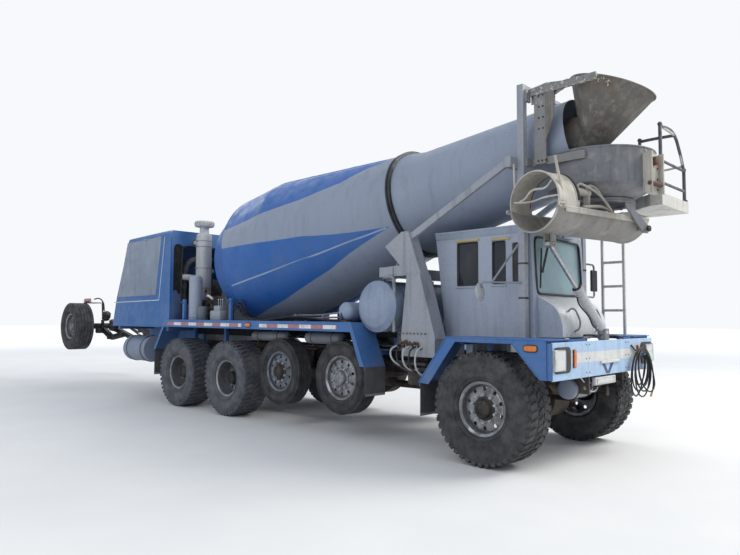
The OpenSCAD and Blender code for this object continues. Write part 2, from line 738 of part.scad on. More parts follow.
module charge_hopper() {
    color("gray") difference() {
        union() {
            hopper_form(0);
            translate(outlet + [6, 0, 0.5]) rotate([0, -90 - drum_tilt, 0]) cylinder(r = spout_r + 6, h = 330);
        }
        translate([0, 0, 13]) hopper_form(10);
        translate(outlet + [28, 0, 1.5]) rotate([0, -90 - drum_tilt, 0]) cylinder(r = spout_r - 8, h = 370);
    }
}

module collector_bowl() {
    color("gray") difference() {
        union() {
            translate([swivel_x, 0, bowl_shoulder]) cylinder(r = bowl_r, h = bowl_top - bowl_shoulder);
            translate([swivel_x, 0, bowl_low]) cylinder(r1 = outlet_r, r2 = bowl_r, h = bowl_shoulder - bowl_low);
            translate([swivel_x, 0, bowl_low]) cylinder(r = swivel_ring_r, h = 16);
        }
        translate([swivel_x, 0, bowl_shoulder]) cylinder(r = bowl_r - 10, h = bowl_top + 1 - bowl_shoulder);
        translate([swivel_x, 0, bowl_low - 1])
            cylinder(r1 = outlet_r - 13, r2 = bowl_r - 10, h = bowl_shoulder + 2 - bowl_low);
        on_drum_axis(5600) cylinder(r = 580, h = 1000);
    }
}

platform_z = 2745;
platform_t = 130;
module platform() {
    floor_z = platform_z + platform_t;
    rail_low = floor_z + 127;
    rail_mid = floor_z + 380;
    rail_top = floor_z + 750;
    color("lightgray") {
        translate([0, 0, platform_z]) linear_extrude(platform_t)
            polygon([[6320, 360], [6320, 1190], [5880, 1190], [5880, 600], [6190, 360]]);
        block([5215, 1130, platform_z], [5890, 1190, platform_z + 90]);
        block([5215, post_y + post_half + gap, platform_z], [5275, 1190, platform_z + 90]);
    }
    color("dimgray") {
        for (p = [[5900, 860, rail_top], [5900, 1150, rail_mid + 35], [6290, 420, rail_top + 20], [6290, 1150, rail_mid]])
            translate([p[0], p[1], floor_z - 1]) cylinder(r = 16, h = p[2] + 1 - floor_z);
        // Front rail, curved down to the outer post
        round_bar([6290, 420, rail_top + 5], [6290, 850, rail_top - 10], 15);
        round_bar([6290, 850, rail_top - 10], [6290, 1030, rail_mid + 185], 15);
        round_bar([6290, 1030, rail_mid + 185], [6290, 1150, rail_mid - 10], 15);
        for (z = [rail_low, rail_mid - 10]) round_bar([6290, 420, z], [6290, 1150, z], 13);
        // Side rails back to the inner posts
        round_bar([5900, 860, rail_top - 16], [6290, 860, rail_top - 16], 13);
        round_bar([5900, 1150, rail_mid + 20], [6290, 1120, rail_mid + 40], 13);
    }
}

module ladder() {
    color("lightgray") {
        for (x = [5290, 5560]) block([x, 1100 - gap, fender_top + gap], [x + 30, 1130 - gap, platform_z + 90]);
        for (i = [0 : 3]) block([5319, 1100 - gap, 1600 + 300 * i], [5561, 1130 - gap, 1630 + 300 * i]);
    }
}

module mirrors() {
    color("lightgray") both_sides() {
        for (z = [1780, 2180])
            cross_round(post_x, z, post_y + post_half + gap, 1010, 10);
        round_bar([post_x, 1010, 1740], [post_x, 1010, 2220], 12);
        block([post_x - 16, 930, 1850], [post_x + 16, 1090, 2120]);
    }
}

// Free hose, wound into a coil that hangs on the bumper's peg
hose_centre = [5918, 740, 925];
hose_turn_r = 235;
hose_bundle_r = 33;
peg_r = 14;

module hose() {
    color("black") translate(hose_centre) rotate([0, 90, 0])
        rotate_extrude() translate([hose_turn_r, 0]) circle(r = hose_bundle_r);
}

module lamps() {
    color("white") both_sides() {
        block([bumper_face_x + gap, 960, 1040], [bumper_face_x + 30, 1170, 1230]);
        block([bumper_face_x + gap, 560, 1010], [bumper_face_x + 25, 700, 1060]);
    }
    color("orange") both_sides() {
        block([bumper_face_x + gap, 850, 1080], [bumper_face_x + 20, 890, 1230]);
        block([5560, half_track - 10 + gap, 1200], [5700, half_track, 1250]);
        block([900, deck_half + gap, deck_top - 85], [1000, deck_half + 10, deck_top - 30]);
    }
    color("red") both_sides() {
        side_plate([[-3700, 1330], [-3681.5, 1395], [-3714, 1395], [-3732, 1330]], 1130, 1190);
    }
}

yoke_y = chute_r + 25;
foot_z = bumper_top + gap;
cylinder_low = 1370;
lift_x = -300;
lift_z = 2480;
eye_x = 870;
eye_z = 2270;
module chute_swivel() {
    ring_top = bowl_low - gap;
    color("dimgray") on_chute() {
        difference() {
            translate([0, 0, ring_top - 24]) cylinder(r = swivel_ring_r, h = 24);
            translate([0, 0, ring_top - 30]) cylinder(r = outlet_r - 13, h = 60);
        }
        // Yoke down to the lift pins
        for (s = [-1, 1]) difference() {
            side_plate([[-95, ring_top - 10], [60, ring_top - 10], [60, 2690], [lift_x + 45, lift_z - 45],
                [lift_x - 45, lift_z - 45], [lift_x - 45, lift_z + 40], [-110, 2660]], s * yoke_y - 9, s * yoke_y + 9);
            translate([lift_x, s * yoke_y, lift_z]) rotate([90, 0, 0]) cylinder(r = 20.1, h = 60, center = true);
        }
        // Foot of the lift cylinder
        translate([0, 0, foot_z]) cylinder(r = 48, h = 22);
        for (s = [-1, 1]) difference() {
            translate([-40, s * 36 - 8, foot_z + 10]) cube([80, 16, cylinder_low + 38 - foot_z - 10]);
            translate([0, 0, cylinder_low]) rotate([90, 0, 0]) cylinder(r = 18.1, h = 200, center = true);
        }
    }
}

// Arc of sheet about the chute's round section, kept on one side of its rim height
module chute_section(from_x, to_x, upper) {
    centre_z = chute_rim_z + 72;
    translate([from_x, 0, 0]) rotate([90, 0, 90]) linear_extrude(to_x - from_x) difference() {
        translate([0, centre_z]) circle(r = chute_r);
        translate([0, centre_z]) circle(r = chute_r - chute_t);
        if (upper) translate([-400, chute_rim_z - 400 + 6]) square([800, 400]);
        else translate([-400, chute_rim_z]) square([800, 500]);
    }
}

fold_z = chute_rim_z + 3;
module main_chute() {
    half = sqrt(chute_r * chute_r - 72 * 72);
    color("gray") on_chute() {
        chute_section(-chute_tail, chute_reach, false);
        // Lift pins in the yoke
        for (s = [-1, 1]) mirror([0, s < 0 ? 1 : 0, 0])
            translate([lift_x, yoke_y + 14, lift_z]) rotate([90, 0, 0]) cylinder(r = 20, h = yoke_y + 18 - 240);
        // Lug of the lift cylinder
        for (s = [-1, 1]) difference() {
            translate([eye_x - 36, s * 42 - 8, eye_z - 36]) cube([72, 16, 141]);
            translate([eye_x, 0, eye_z]) rotate([90, 0, 0]) cylinder(r = 22, h = 120, center = true);
        }
        // Hinge ears and pins of the folding chute
        for (s = [-1, 1]) mirror([0, s < 0 ? 1 : 0, 0]) {
            translate([chute_reach, half + 16, fold_z]) rotate([90, 0, 0]) cylinder(r = 24, h = 14, center = true);
            translate([chute_reach - 90, half - 9, chute_rim_z - 26]) cube([95, 32, 26]);
            translate([chute_reach, half + 45, fold_z]) rotate([90, 0, 0]) cylinder(r = 10, h = 30);
        }
    }
}

module fold_chute() {
    half = sqrt(chute_r * chute_r - 72 * 72);
    color("gray") on_chute() {
        chute_section(chute_reach - fold_len, chute_reach - 6, true);
        // Hinge plates outside the main chute's ears
        for (s = [-1, 1]) mirror([0, s < 0 ? 1 : 0, 0]) {
            difference() {
                hull_y = half + 26;
                union() {
                    translate([chute_reach, hull_y + 10, fold_z]) rotate([90, 0, 0]) cylinder(r = 24, h = 10);
                    translate([chute_reach - 110, hull_y, fold_z + 8]) cube([110, 10, 16]);
                    translate([chute_reach - 110, half - 12, fold_z + 26]) cube([60, 48, 14]);
                    translate([chute_reach - 110, hull_y, fold_z + 8]) cube([60, 10, 32]);
                }
                translate([chute_reach, hull_y + 20, fold_z]) rotate([90, 0, 0]) cylinder(r = 10.1, h = 40);
            }
        }
    }
}

cylinder_rise = atan2(eye_z - cylinder_low, eye_x);

module on_lift() {
    on_chute() translate([0, 0, cylinder_low]) rotate([0, -cylinder_rise, 0]) children();
}

module lift_barrel() {
    color("gray") on_lift() {
        rotate([90, 0, 0]) cylinder(r = 36, h = 54, center = true);
        rotate([90, 0, 0]) cylinder(r = 18, h = 100, center = true);
        rotate([0, 90, 0]) difference() {
            union() {
                translate([0, 0, 62]) cylinder(r = 52, h = 574);
                translate([0, 0, 30]) cylinder(r = 26, h = 40);
            }
            translate([0, 0, 66]) cylinder(r = 27.6, h = 600);
        }
    }
}

rod_start = 618;
module lift_rod() {
    length = norm([eye_x, eye_z - cylinder_low]);
    color("lightgray") on_lift() {
        translate([length, 0, 0]) rotate([90, 0, 0]) cylinder(r = 38, h = 58, center = true);
        translate([length, 0, 0]) rotate([90, 0, 0]) cylinder(r = 13, h = 98, center = true);
        rotate([0, 90, 0]) translate([0, 0, rod_start]) cylinder(r = 27.5, h = length - 10 - rod_start);
    }
}

module booster_arm() {
    color("dimgray") difference() {
        union() {
            both_sides() {
                side_plate([[booster_pivot_x - 50, booster_pivot_z - 40], [booster_pivot_x - 50, booster_pivot_z + 40],
                    [booster_x, booster_z + 55], [booster_x, booster_z - 55]], 262, 352);
                cross_round(booster_pivot_x, booster_pivot_z, 240, 360, 72);
            }
            axle_beam(wheel_kinds[5], 835, 65);
        }
        cross_round(booster_pivot_x, booster_pivot_z, -400, 400, 34.6);
    }
}

for (k = wheel_kinds) for (i = [0, 1]) {
    tyre_name = str("tyre_", k[0], "_", side_names[i]);
    rim_name = str("rim_", k[0], "_", side_names[i]);
    color("darkslategray") at_wheel(k, side_signs[i]) tyre_form(k[3], k[4]);
    color("silver") at_wheel(k, side_signs[i]) rim_form(k[4], k[6]);
}
frame_rails();
front_axle();
knuckle(-1);  // knuckle_right
knuckle(1);  // knuckle_left
pusher_axles();
drive_axles();
engine_block();
hood();
side_fenders();
mudflaps();
bumper();
cab_shell();
cab_glass();
cab_inside();
cab_door();
pedestals();
roller(-1);  // roller_right
roller(1);  // roller_left
drum_drive();
drum_shell();
tanks();
canisters();
hopper_frame();
charge_hopper();
collector_bowl();
platform();
ladder();
mirrors();
lamps();
hose();
chute_swivel();
main_chute();
fold_chute();
lift_barrel();
lift_rod();
booster_arm();
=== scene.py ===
"""Dresses a front-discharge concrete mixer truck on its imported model, for a studio picture."""

import logging
import math
import random
from dataclasses import dataclass
from enum import Enum
from typing import Iterable, Sequence

import bmesh
import bpy
from mathutils import Matrix, Vector


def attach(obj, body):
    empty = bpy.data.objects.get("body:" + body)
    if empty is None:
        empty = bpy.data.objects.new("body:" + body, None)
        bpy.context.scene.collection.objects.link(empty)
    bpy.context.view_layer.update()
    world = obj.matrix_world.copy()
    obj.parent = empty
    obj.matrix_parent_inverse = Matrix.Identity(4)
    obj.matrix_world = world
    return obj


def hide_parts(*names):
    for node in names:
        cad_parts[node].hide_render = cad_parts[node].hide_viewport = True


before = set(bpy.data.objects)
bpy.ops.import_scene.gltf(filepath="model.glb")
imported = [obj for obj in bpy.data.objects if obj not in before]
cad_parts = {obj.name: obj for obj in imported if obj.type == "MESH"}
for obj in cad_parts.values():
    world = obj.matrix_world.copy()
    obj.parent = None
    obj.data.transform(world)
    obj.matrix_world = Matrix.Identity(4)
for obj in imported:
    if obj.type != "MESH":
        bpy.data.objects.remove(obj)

LOG = logging.getLogger("mixer_truck")
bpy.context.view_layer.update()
Point = Sequence[float]
Colour = tuple[int, int, int]


class Side(Enum):
    """Side of the truck; the value is the sign of Y."""

    RIGHT = -1
    LEFT = 1

    @property
    def word(self) -> str:
        """Name of the side as the frame's nodes use it."""
        return self.name.lower()


class Tread(Enum):
    """Pattern moulded into a tyre."""

    LUGS = "lugs"
    RIBS = "ribs"


def linear(colour: Colour, alpha: float = 1.0) -> tuple[float, float, float, float]:
    """Turns a colour of 0 to 255 into the linear values and the alpha that a shader takes."""
    parts = [c / 255 for c in colour]
    return tuple(p / 12.92 if p <= 0.04045 else ((p + 0.055) / 1.055) ** 2.4 for p in parts) + (alpha,)


def darker(colour: Colour, share: float) -> Colour:
    """Darkens a colour to a share of its strength."""
    return tuple(int(c * share) for c in colour)


def between(table: Sequence[tuple[float, float]], place: float) -> float:
    """Reads a table of places and values, straight between its rows.

    Args:
        table: Rows of (place, value), in order.
        place: Where it is read.

    Returns:
        The value there.
    """
    for (s0, v0), (s1, v1) in zip(table, table[1:]):
        if place <= s1:
            return v0 + (v1 - v0) * (place - s0) / (s1 - s0)
    return table[-1][1]


def row(start: Point, step: Point, count: int) -> list[Point]:
    """Gives evenly spaced points along a line."""
    return [tuple(a + d * i for a, d in zip(start, step)) for i in range(count)]


class NodeSheet:
    """Node tree of one material, with short calls for the nodes that the finishes use."""

    def __init__(self, name: str) -> None:
        """Starts an empty material.

        Args:
            name: Name of the material.
        """
        self.material = bpy.data.materials.new(name)
        self.material.use_nodes = True
        self.tree = self.material.node_tree
        self.tree.nodes.clear()
        self.shader = self.add("ShaderNodeBsdfPrincipled")
        output = self.add("ShaderNodeOutputMaterial")
        self.link(self.shader.outputs["BSDF"], output.inputs["Surface"])
        self.place = self.add("ShaderNodeTexCoord").outputs["Object"]

    def add(self, kind: str, feeds: dict[str | int, object] | None = None,
            **settings: object) -> bpy.types.Node:
        """Adds a node, sets its properties and feeds its inputs.

        Args:
            kind: Type of the node.
            feeds: Value or socket for each input.
            **settings: Its properties.

        Returns:
            The node.
        """
        node = self.tree.nodes.new(kind)
        for key, value in settings.items():
            setattr(node, key, value)
        for key, value in (feeds or {}).items():
            self.feed(node.inputs[key], value)
        return node

    def link(self, source: bpy.types.NodeSocket, target: bpy.types.NodeSocket) -> None:
        """Joins two sockets."""
        self.tree.links.new(source, target)

    def feed(self, target: bpy.types.NodeSocket, value: object) -> None:
        """Sets a socket to a number or colour, or links it.

        Args:
            target: The socket.
            value: A number, a colour or another socket.
        """
        if isinstance(value, bpy.types.NodeSocket):
            self.link(value, target)
        else:
            target.default_value = value

    def set(self, name: str, value: object) -> None:
        """Sets one input of the shader, or links it."""
        self.feed(self.shader.inputs[name], value)

    def stretched(self, scale: Point) -> bpy.types.NodeSocket:
        """Object coordinates, stretched by a scale on each axis."""
        return self.add("ShaderNodeMapping", {"Scale": scale, "Vector": self.place}).outputs["Vector"]

    def noise(self, scale: float, detail: float = 4.0, stretch: Point = (1, 1, 1),
            rough: float = 0.55) -> bpy.types.NodeSocket:
        """Noise of about 0.3 to 0.7: grains per metre, octaves, stretch by axis, share of fine octaves."""
        feeds = {"Scale": scale, "Detail": detail, "Roughness": rough, "Vector": self.stretched(stretch)}
        return self.add("ShaderNodeTexNoise", feeds).outputs["Fac"]

    def ramp(self, value: object, low: float, high: float, top: float = 1.0,
            bottom: float = 0.0) -> bpy.types.NodeSocket:
        """Smooth step of a value from bottom at low to top at high."""
        feeds = {"Value": value, "From Min": low, "From Max": high, "To Min": bottom, "To Max": top}
        return self.add("ShaderNodeMapRange", feeds, interpolation_type="SMOOTHSTEP").outputs["Result"]

    def maths(self, kind: str, first: object, second: object = 0.0) -> bpy.types.NodeSocket:
        """Result of one arithmetic step."""
        return self.add("ShaderNodeMath", {0: first, 1: second}, operation=kind).outputs["Value"]

    def times(self, first: object, second: object) -> bpy.types.NodeSocket:
        """Product of two values."""
        return self.maths("MULTIPLY", first, second)

    def axis(self, name: str) -> bpy.types.NodeSocket:
        """One of X, Y and Z of the object coordinates."""
        return self.add("ShaderNodeSeparateXYZ", {"Vector": self.place}).outputs[name]

    def attribute(self, name: str) -> bpy.types.NodeSocket:
        """A number kept on the mesh."""
        return self.add("ShaderNodeAttribute", attribute_name=name).outputs["Fac"]

    def blend(self, share: object, first: object, second: object) -> bpy.types.NodeSocket:
        """Colour between the first, at a share of 0, and the second, at 1."""
        feeds = {"Factor": share, "A": first, "B": second}
        return self.add("ShaderNodeMix", feeds, data_type="RGBA").outputs["Result"]

    def stain(self, base: object, colour: Colour, mask: object, low: float, high: float,
            amount: float = 1.0) -> bpy.types.NodeSocket:
        """Lays a colour over another where a mask rises from low to high, up to an amount."""
        return self.blend(self.ramp(mask, low, high, amount), base, linear(colour))

    def bump(self, height: object, distance: float, strength: float = 1.0) -> None:
        """Adds a height to the surface's bumps.

        Args:
            height: Height from 0 to 1.
            distance: Height of 1 in metres.
            strength: How much of it shows.
        """
        node = self.add("ShaderNodeBump", {"Strength": strength, "Distance": distance, "Height": height})
        normal = self.shader.inputs["Normal"]
        if normal.links:
            self.link(normal.links[0].from_socket, node.inputs["Normal"])
        self.link(node.outputs["Normal"], normal)

    def finish(self, colour: object, roughness: object, metallic: float = 0.0) -> bpy.types.Material:
        """Feeds the shader and gives the material.

        Args:
            colour: Its base colour.
            roughness: Its roughness.
            metallic: 1 for bare metal.

        Returns:
            The material.
        """
        for name, value in (("Base Color", colour), ("Roughness", roughness), ("Metallic", metallic)):
            self.set(name, value)
        return self.material


def enter(name: str, data: bpy.types.ID) -> bpy.types.Object:
    """Puts an object with this data into the scene.

    Args:
        name: Name of the object.
        data: What it shows.

    Returns:
        The object.
    """
    thing = bpy.data.objects.new(name, data)
    bpy.context.scene.collection.objects.link(thing)
    return thing


def tube(name: str, radius: float, fine: int, sides: int) -> bpy.types.Curve:
    """Starts the curve of a capped tube.

    Args:
        name: Name of the curve.
        radius: Radius of the tube.
        fine: Steps between two points.
        sides: Roundness of its section.

    Returns:
        The curve, still without points.
    """
    curve = bpy.data.curves.new(name, "CURVE")
    curve.dimensions = "3D"
    curve.bevel_depth, curve.bevel_resolution = radius, sides
    curve.resolution_u, curve.use_fill_caps = fine, True
    return curve


@dataclass(frozen=True)
class Finish:
    """What a surface is covered with; each kind lays its own nodes."""

    name: str
    colour: Colour

    def lay(self, sheet: NodeSheet) -> tuple:
        return linear(self.colour), 0.5

    def make(self) -> bpy.types.Material:
        """Builds the material."""
        sheet = NodeSheet(self.name)
        return sheet.finish(*self.lay(sheet))


@dataclass(frozen=True)
class WornPaint(Finish):
    """Paint on plate after years of work: faded, streaked, dusty at the foot and chipped."""

    fade: float = 0.10
    grime: float = 0.35
    dust: float = 0.35
    chips: float = 0.5
    gloss: float = 0.42
    dust_top: float = 1.7

    def weather(self, sheet: NodeSheet, colour: object) -> tuple:
        """Adds fading, streaks, dust and chips to a paint.

        Args:
            sheet: Sheet that is worked on.
            colour: The clean paint.

        Returns:
            The worn colour and its roughness.
        """
        worn = sheet.stain(colour, (176, 184, 196), sheet.noise(1.3), 0.35, 0.68, self.fade * 3)
        worn = sheet.stain(worn, (84, 82, 80), sheet.noise(9, 3, (1, 1, 0.09)), 0.5, 0.78, self.grime)
        worn = sheet.stain(worn, (104, 99, 92), sheet.noise(38, 5), 0.40, 0.75, self.grime * 0.5)
        foot = sheet.ramp(sheet.axis("Z"), self.dust_top, 0.5)
        cloud = sheet.times(foot, sheet.ramp(sheet.noise(4.5, 6), 0.3, 0.66))
        worn = sheet.blend(sheet.times(cloud, self.dust), worn, linear((142, 132, 118)))
        spots = sheet.times(sheet.ramp(sheet.noise(70, 2), 0.68, 0.72),
                sheet.ramp(sheet.noise(2.1), 0.5, 0.6, self.chips))
        worn = sheet.blend(spots, worn, linear((92, 62, 46)))
        sheet.bump(sheet.noise(160, 2), 0.0006, 0.25)
        sheet.bump(sheet.noise(1.8, 2), 0.02, 0.12)
        rough = sheet.ramp(sheet.noise(6, 5), 0.3, 0.7, self.gloss + 0.2, self.gloss - 0.08)
        return worn, sheet.maths("ADD", rough, sheet.times(foot, 0.15))

    def lay(self, sheet: NodeSheet) -> tuple:
        """Wears the plain colour."""
        return self.weather(sheet, linear(self.colour))


@dataclass(frozen=True)
class DrumPaint(WornPaint):
    """Drum paint: blue wedges on grey, read from the distance that the mesh keeps beside their edges."""

    wedge: Colour = (34, 94, 166)
    line: Colour = (150, 166, 190)

    def lay(self, sheet: NodeSheet) -> tuple:
        """Lays wedges, thin lines, mould and splashes.

        Args:
            sheet: Sheet that is worked on.

        Returns:
            The colour, its roughness and, where it has one, its share of metal.
        """
        clean = sheet.stain(linear(self.colour), self.wedge, sheet.attribute("wedge"), -0.004, 0.004)
        clean = sheet.stain(clean, self.line, sheet.attribute("line"), -0.003, 0.003)
        clean = sheet.stain(clean, (98, 104, 100), sheet.noise(2.6, 6, (1, 1, 0.5)), 0.52, 0.78, 0.16)
        colour, rough = self.weather(sheet, clean)
        splash = sheet.times(sheet.ramp(sheet.noise(14, 7, (1, 1, 1), 0.7), 0.60, 0.66),
                sheet.ramp(sheet.attribute("splash"), 0.0, 1.0))
        sheet.bump(splash, 0.004)
        return sheet.blend(splash, colour, linear((186, 184, 178))), rough


@dataclass(frozen=True)
class HopperFramePaint(WornPaint):
    """Paint of the posts, which gives way to concrete-splashed steel on the arms in front of them."""

    steel: Colour = (126, 125, 124)
    splash: Colour = (182, 179, 172)

    def lay(self, sheet: NodeSheet) -> tuple:
        """Lays the steel ahead of the posts and the crust on its upper part.

        Args:
            sheet: Sheet that is worked on.

        Returns:
            The colour, its roughness and, where it has one, its share of metal.
        """
        ahead = sheet.times(sheet.ramp(sheet.axis("X"), 5.276, 5.29),
                sheet.ramp(sheet.axis("Z"), 3.12, 3.16))
        colour, rough = self.weather(sheet, sheet.blend(ahead, linear(self.colour), linear(self.steel)))
        high = sheet.times(ahead, sheet.ramp(sheet.axis("Z"), 3.7, 4.0))
        crust = sheet.times(sheet.ramp(sheet.noise(24, 6, (1, 1, 1), 0.7), 0.5, 0.56), high)
        sheet.bump(crust, 0.005)
        return sheet.blend(crust, colour, linear(self.splash)), rough


@dataclass(frozen=True)
class ConcreteSteel(Finish):
    """Plate that concrete runs over: scoured, streaked with rust and crusted with dried splashes."""

    rust: float = 0.4
    crust: float = 0.5
    crust_colour: Colour = (172, 168, 158)
    crust_scale: float = 9.0

    def lay(self, sheet: NodeSheet) -> tuple:
        """Lays scours, streaks, rust and crust.

        Args:
            sheet: Sheet that is worked on.

        Returns:
            The colour, its roughness and, where it has one, its share of metal.
        """
        worn = sheet.stain(linear(self.colour), darker(self.colour, 0.72), sheet.noise(2.2, 6), 0.32, 0.7,
                0.6)
        worn = sheet.stain(worn, (150, 147, 140), sheet.noise(13, 4, (1, 1, 0.07)), 0.46, 0.74, 0.55)
        worn = sheet.stain(worn, (72, 66, 60), sheet.noise(16, 4, (1, 1, 0.06)), 0.55, 0.8, 0.5)
        worn = sheet.stain(worn, (112, 80, 58), sheet.noise(3.4, 7, (1, 1, 0.6), 0.62), 0.5, 0.68,
                self.rust)
        crust = sheet.times(sheet.ramp(sheet.noise(self.crust_scale, 8, (1, 1, 1), 0.68), 0.52, 0.6,
                self.crust), sheet.ramp(sheet.noise(1.7, 3), 0.46, 0.6))
        sheet.bump(crust, 0.006, 0.8)
        sheet.bump(sheet.noise(60, 4), 0.0015, 0.5)
        worn = sheet.blend(crust, worn, linear(self.crust_colour))
        return worn, sheet.ramp(sheet.noise(8, 5), 0.3, 0.7, 0.86, 0.6), 0.12


@dataclass(frozen=True)
class GreasyIron(Finish):
    """Chassis and axle iron: dark, oily and caked with road dirt."""

    cake: Colour = (112, 100, 86)
    amount: float = 0.55

    def lay(self, sheet: NodeSheet) -> tuple:
        """Lays rust and caked dirt.

        Args:
            sheet: Sheet that is worked on.

        Returns:
            The colour, its roughness and, where it has one, its share of metal.
        """
        base = sheet.stain(linear(self.colour), darker(self.colour, 0.6), sheet.noise(5, 5), 0.35, 0.7)
        base = sheet.stain(base, (96, 66, 48), sheet.noise(11, 6), 0.55, 0.7, 0.45)
        cake = sheet.ramp(sheet.noise(3.2, 8, (1, 1, 1), 0.65), 0.44, 0.62, self.amount)
        sheet.bump(cake, 0.004, 0.7)
        sheet.bump(sheet.noise(90, 3), 0.001, 0.5)
        return sheet.blend(cake, base, linear(self.cake)), sheet.ramp(cake, 0.0, 0.5, 0.88, 0.5), 0.25


@dataclass(frozen=True)
class DustyRubber(Finish):
    """Tyre and flap rubber, greyed by dust."""

    dust: float = 0.34
    dust_colour: Colour = (112, 110, 109)

    def lay(self, sheet: NodeSheet) -> tuple:
        """Lays coarse and fine dust.

        Args:
            sheet: Sheet that is worked on.

        Returns:
            The colour, its roughness and, where it has one, its share of metal.
        """
        cloud = sheet.noise(8, 6, (1, 1, 1), 0.6)
        dusty = sheet.stain(linear(self.colour), self.dust_colour, cloud, 0.30, 0.72, self.dust)
        dusty = sheet.stain(dusty, darker(self.dust_colour, 0.85), sheet.noise(46, 4), 0.42, 0.7, self.dust
                * 0.5)
        sheet.bump(sheet.noise(120, 3), 0.0008, 0.6)
        return dusty, sheet.ramp(sheet.noise(7, 4), 0.3, 0.7, 0.92, 0.7)


@dataclass(frozen=True)
class RoadMetal(Finish):
    """Bare or plated metal: rims, rods, pipes and rails."""

    roughness: float = 0.32
    tarnish: float = 0.4
    metallic: float = 0.85

    def lay(self, sheet: NodeSheet) -> tuple:
        """Lays tarnish and pits.

        Args:
            sheet: Sheet that is worked on.

        Returns:
            The colour, its roughness and, where it has one, its share of metal.
        """
        cloud = sheet.ramp(sheet.noise(7, 6, (1, 1, 1), 0.6), 0.38, 0.7, self.tarnish)
        colour = sheet.blend(cloud, linear(self.colour), linear((96, 90, 84)))
        colour = sheet.stain(colour, (70, 58, 50), sheet.noise(60, 3), 0.6, 0.7, self.tarnish * 0.6)
        sheet.bump(sheet.noise(140, 2), 0.0005, 0.35)
        return colour, sheet.ramp(cloud, 0.0, 0.5, self.roughness + 0.35, self.roughness), self.metallic


@dataclass(frozen=True)
class Moulding(Finish):
    """Black plastic and painted trim with a fine grain."""

    roughness: float = 0.5
    dust: float = 0.14

    def lay(self, sheet: NodeSheet) -> tuple:
        """Lays dust on the grain.

        Args:
            sheet: Sheet that is worked on.

        Returns:
            The colour, its roughness and, where it has one, its share of metal.
        """
        cloud = sheet.ramp(sheet.noise(9, 6), 0.4, 0.7, self.dust)
        sheet.bump(sheet.noise(420, 2), 0.0004, 0.4)
        rough = sheet.ramp(cloud, 0.0, 0.4, self.roughness + 0.25, self.roughness)
        return sheet.blend(cloud, linear(self.colour), linear((124, 118, 108))), rough


@dataclass(frozen=True)
class Glazing(Finish):
    """Window glass with a film of dust: pale in front as a painted sky reflection, dark at the sides as
    painted shade.
    """

    side_shade_colour: Colour = (70, 78, 88)

    def lay(self, sheet: NodeSheet) -> tuple:
        """Lays the painted reflection in front and the painted shade at the sides by place along X, then
        the film.

        Args:
            sheet: Sheet that is worked on.

        Returns:
            The colour, its roughness and, where it has one, its share of metal.
        """
        film = sheet.ramp(sheet.noise(3, 6), 0.4, 0.75, 0.30)
        # Front glass gets a pale painted reflection, side glass a dark painted shade.
        reflection_and_shade = sheet.stain(linear(self.side_shade_colour), self.colour, sheet.axis("X"), 5.18, 5.2)
        sheet.set("Transmission Weight", sheet.ramp(sheet.axis("X"), 5.18, 5.2, 0.5, 0.75))
        sheet.set("IOR", 1.45)
        return sheet.blend(film, reflection_and_shade, linear((150, 152, 150))), sheet.ramp(film, 0.0, 0.3, 0.22, 0.03)


@dataclass(frozen=True)
class LampLens(Finish):
    """Ribbed coloured plastic over a lamp."""

    rib_scale: float = 260 / 6.3

    def lay(self, sheet: NodeSheet) -> tuple:
        """Lays the ribs, darkened in bands as painted shade, and the dirt on them.

        Args:
            sheet: Sheet that is worked on.

        Returns:
            The colour, its roughness and, where it has one, its share of metal.
        """
        feeds = {"Vector": sheet.place, "Scale": self.rib_scale}
        ribs = sheet.add("ShaderNodeTexWave", feeds, wave_type="BANDS", bands_direction="Z").outputs["Fac"]
        # The ribs' bands are darkened as painted shade.
        shade = sheet.stain(linear(self.colour), darker(self.colour, 0.55), ribs, 0.2, 0.8, 0.4)
        dirt = sheet.ramp(sheet.noise(20, 5), 0.45, 0.7, 0.35)
        sheet.bump(ribs, 0.0012, 0.6)
        sheet.set("Coat Weight", 0.6)
        return sheet.blend(dirt, shade, linear((120, 112, 102))), sheet.ramp(dirt, 0.0, 0.3, 0.5, 0.18)


@dataclass(frozen=True)
class MarkerTape(Finish):
    """Reflective tape in red and pale blocks along X, with its honeycomb cells."""

    block: float = 0.28
    start: float = 0.0
    red: Colour = (150, 36, 48)
    cell_scale: float = 170.0

    def lay(self, sheet: NodeSheet) -> tuple:
        """Lays the blocks, the cells and dirt.

        Args:
            sheet: Sheet that is worked on.

        Returns:
            The colour, its roughness and, where it has one, its share of metal.
        """
        along = sheet.maths("ADD", sheet.axis("X"), 20.0 + self.start)
        turn = sheet.maths("FRACT", sheet.maths("DIVIDE", along, 2 * self.block))
        cells = sheet.add("ShaderNodeTexVoronoi", {"Vector": sheet.place, "Scale": self.cell_scale},
                feature="DISTANCE_TO_EDGE")
        net = sheet.times(sheet.ramp(cells.outputs["Distance"], 0.02, 0.08), 0.25)
        tape = sheet.stain(linear(self.colour), self.red, turn, 0.497, 0.503)
        tape = sheet.blend(net, tape, linear((245, 240, 236)))
        return sheet.stain(tape, (104, 96, 90), sheet.noise(8, 6), 0.46, 0.7, 0.4), 0.35


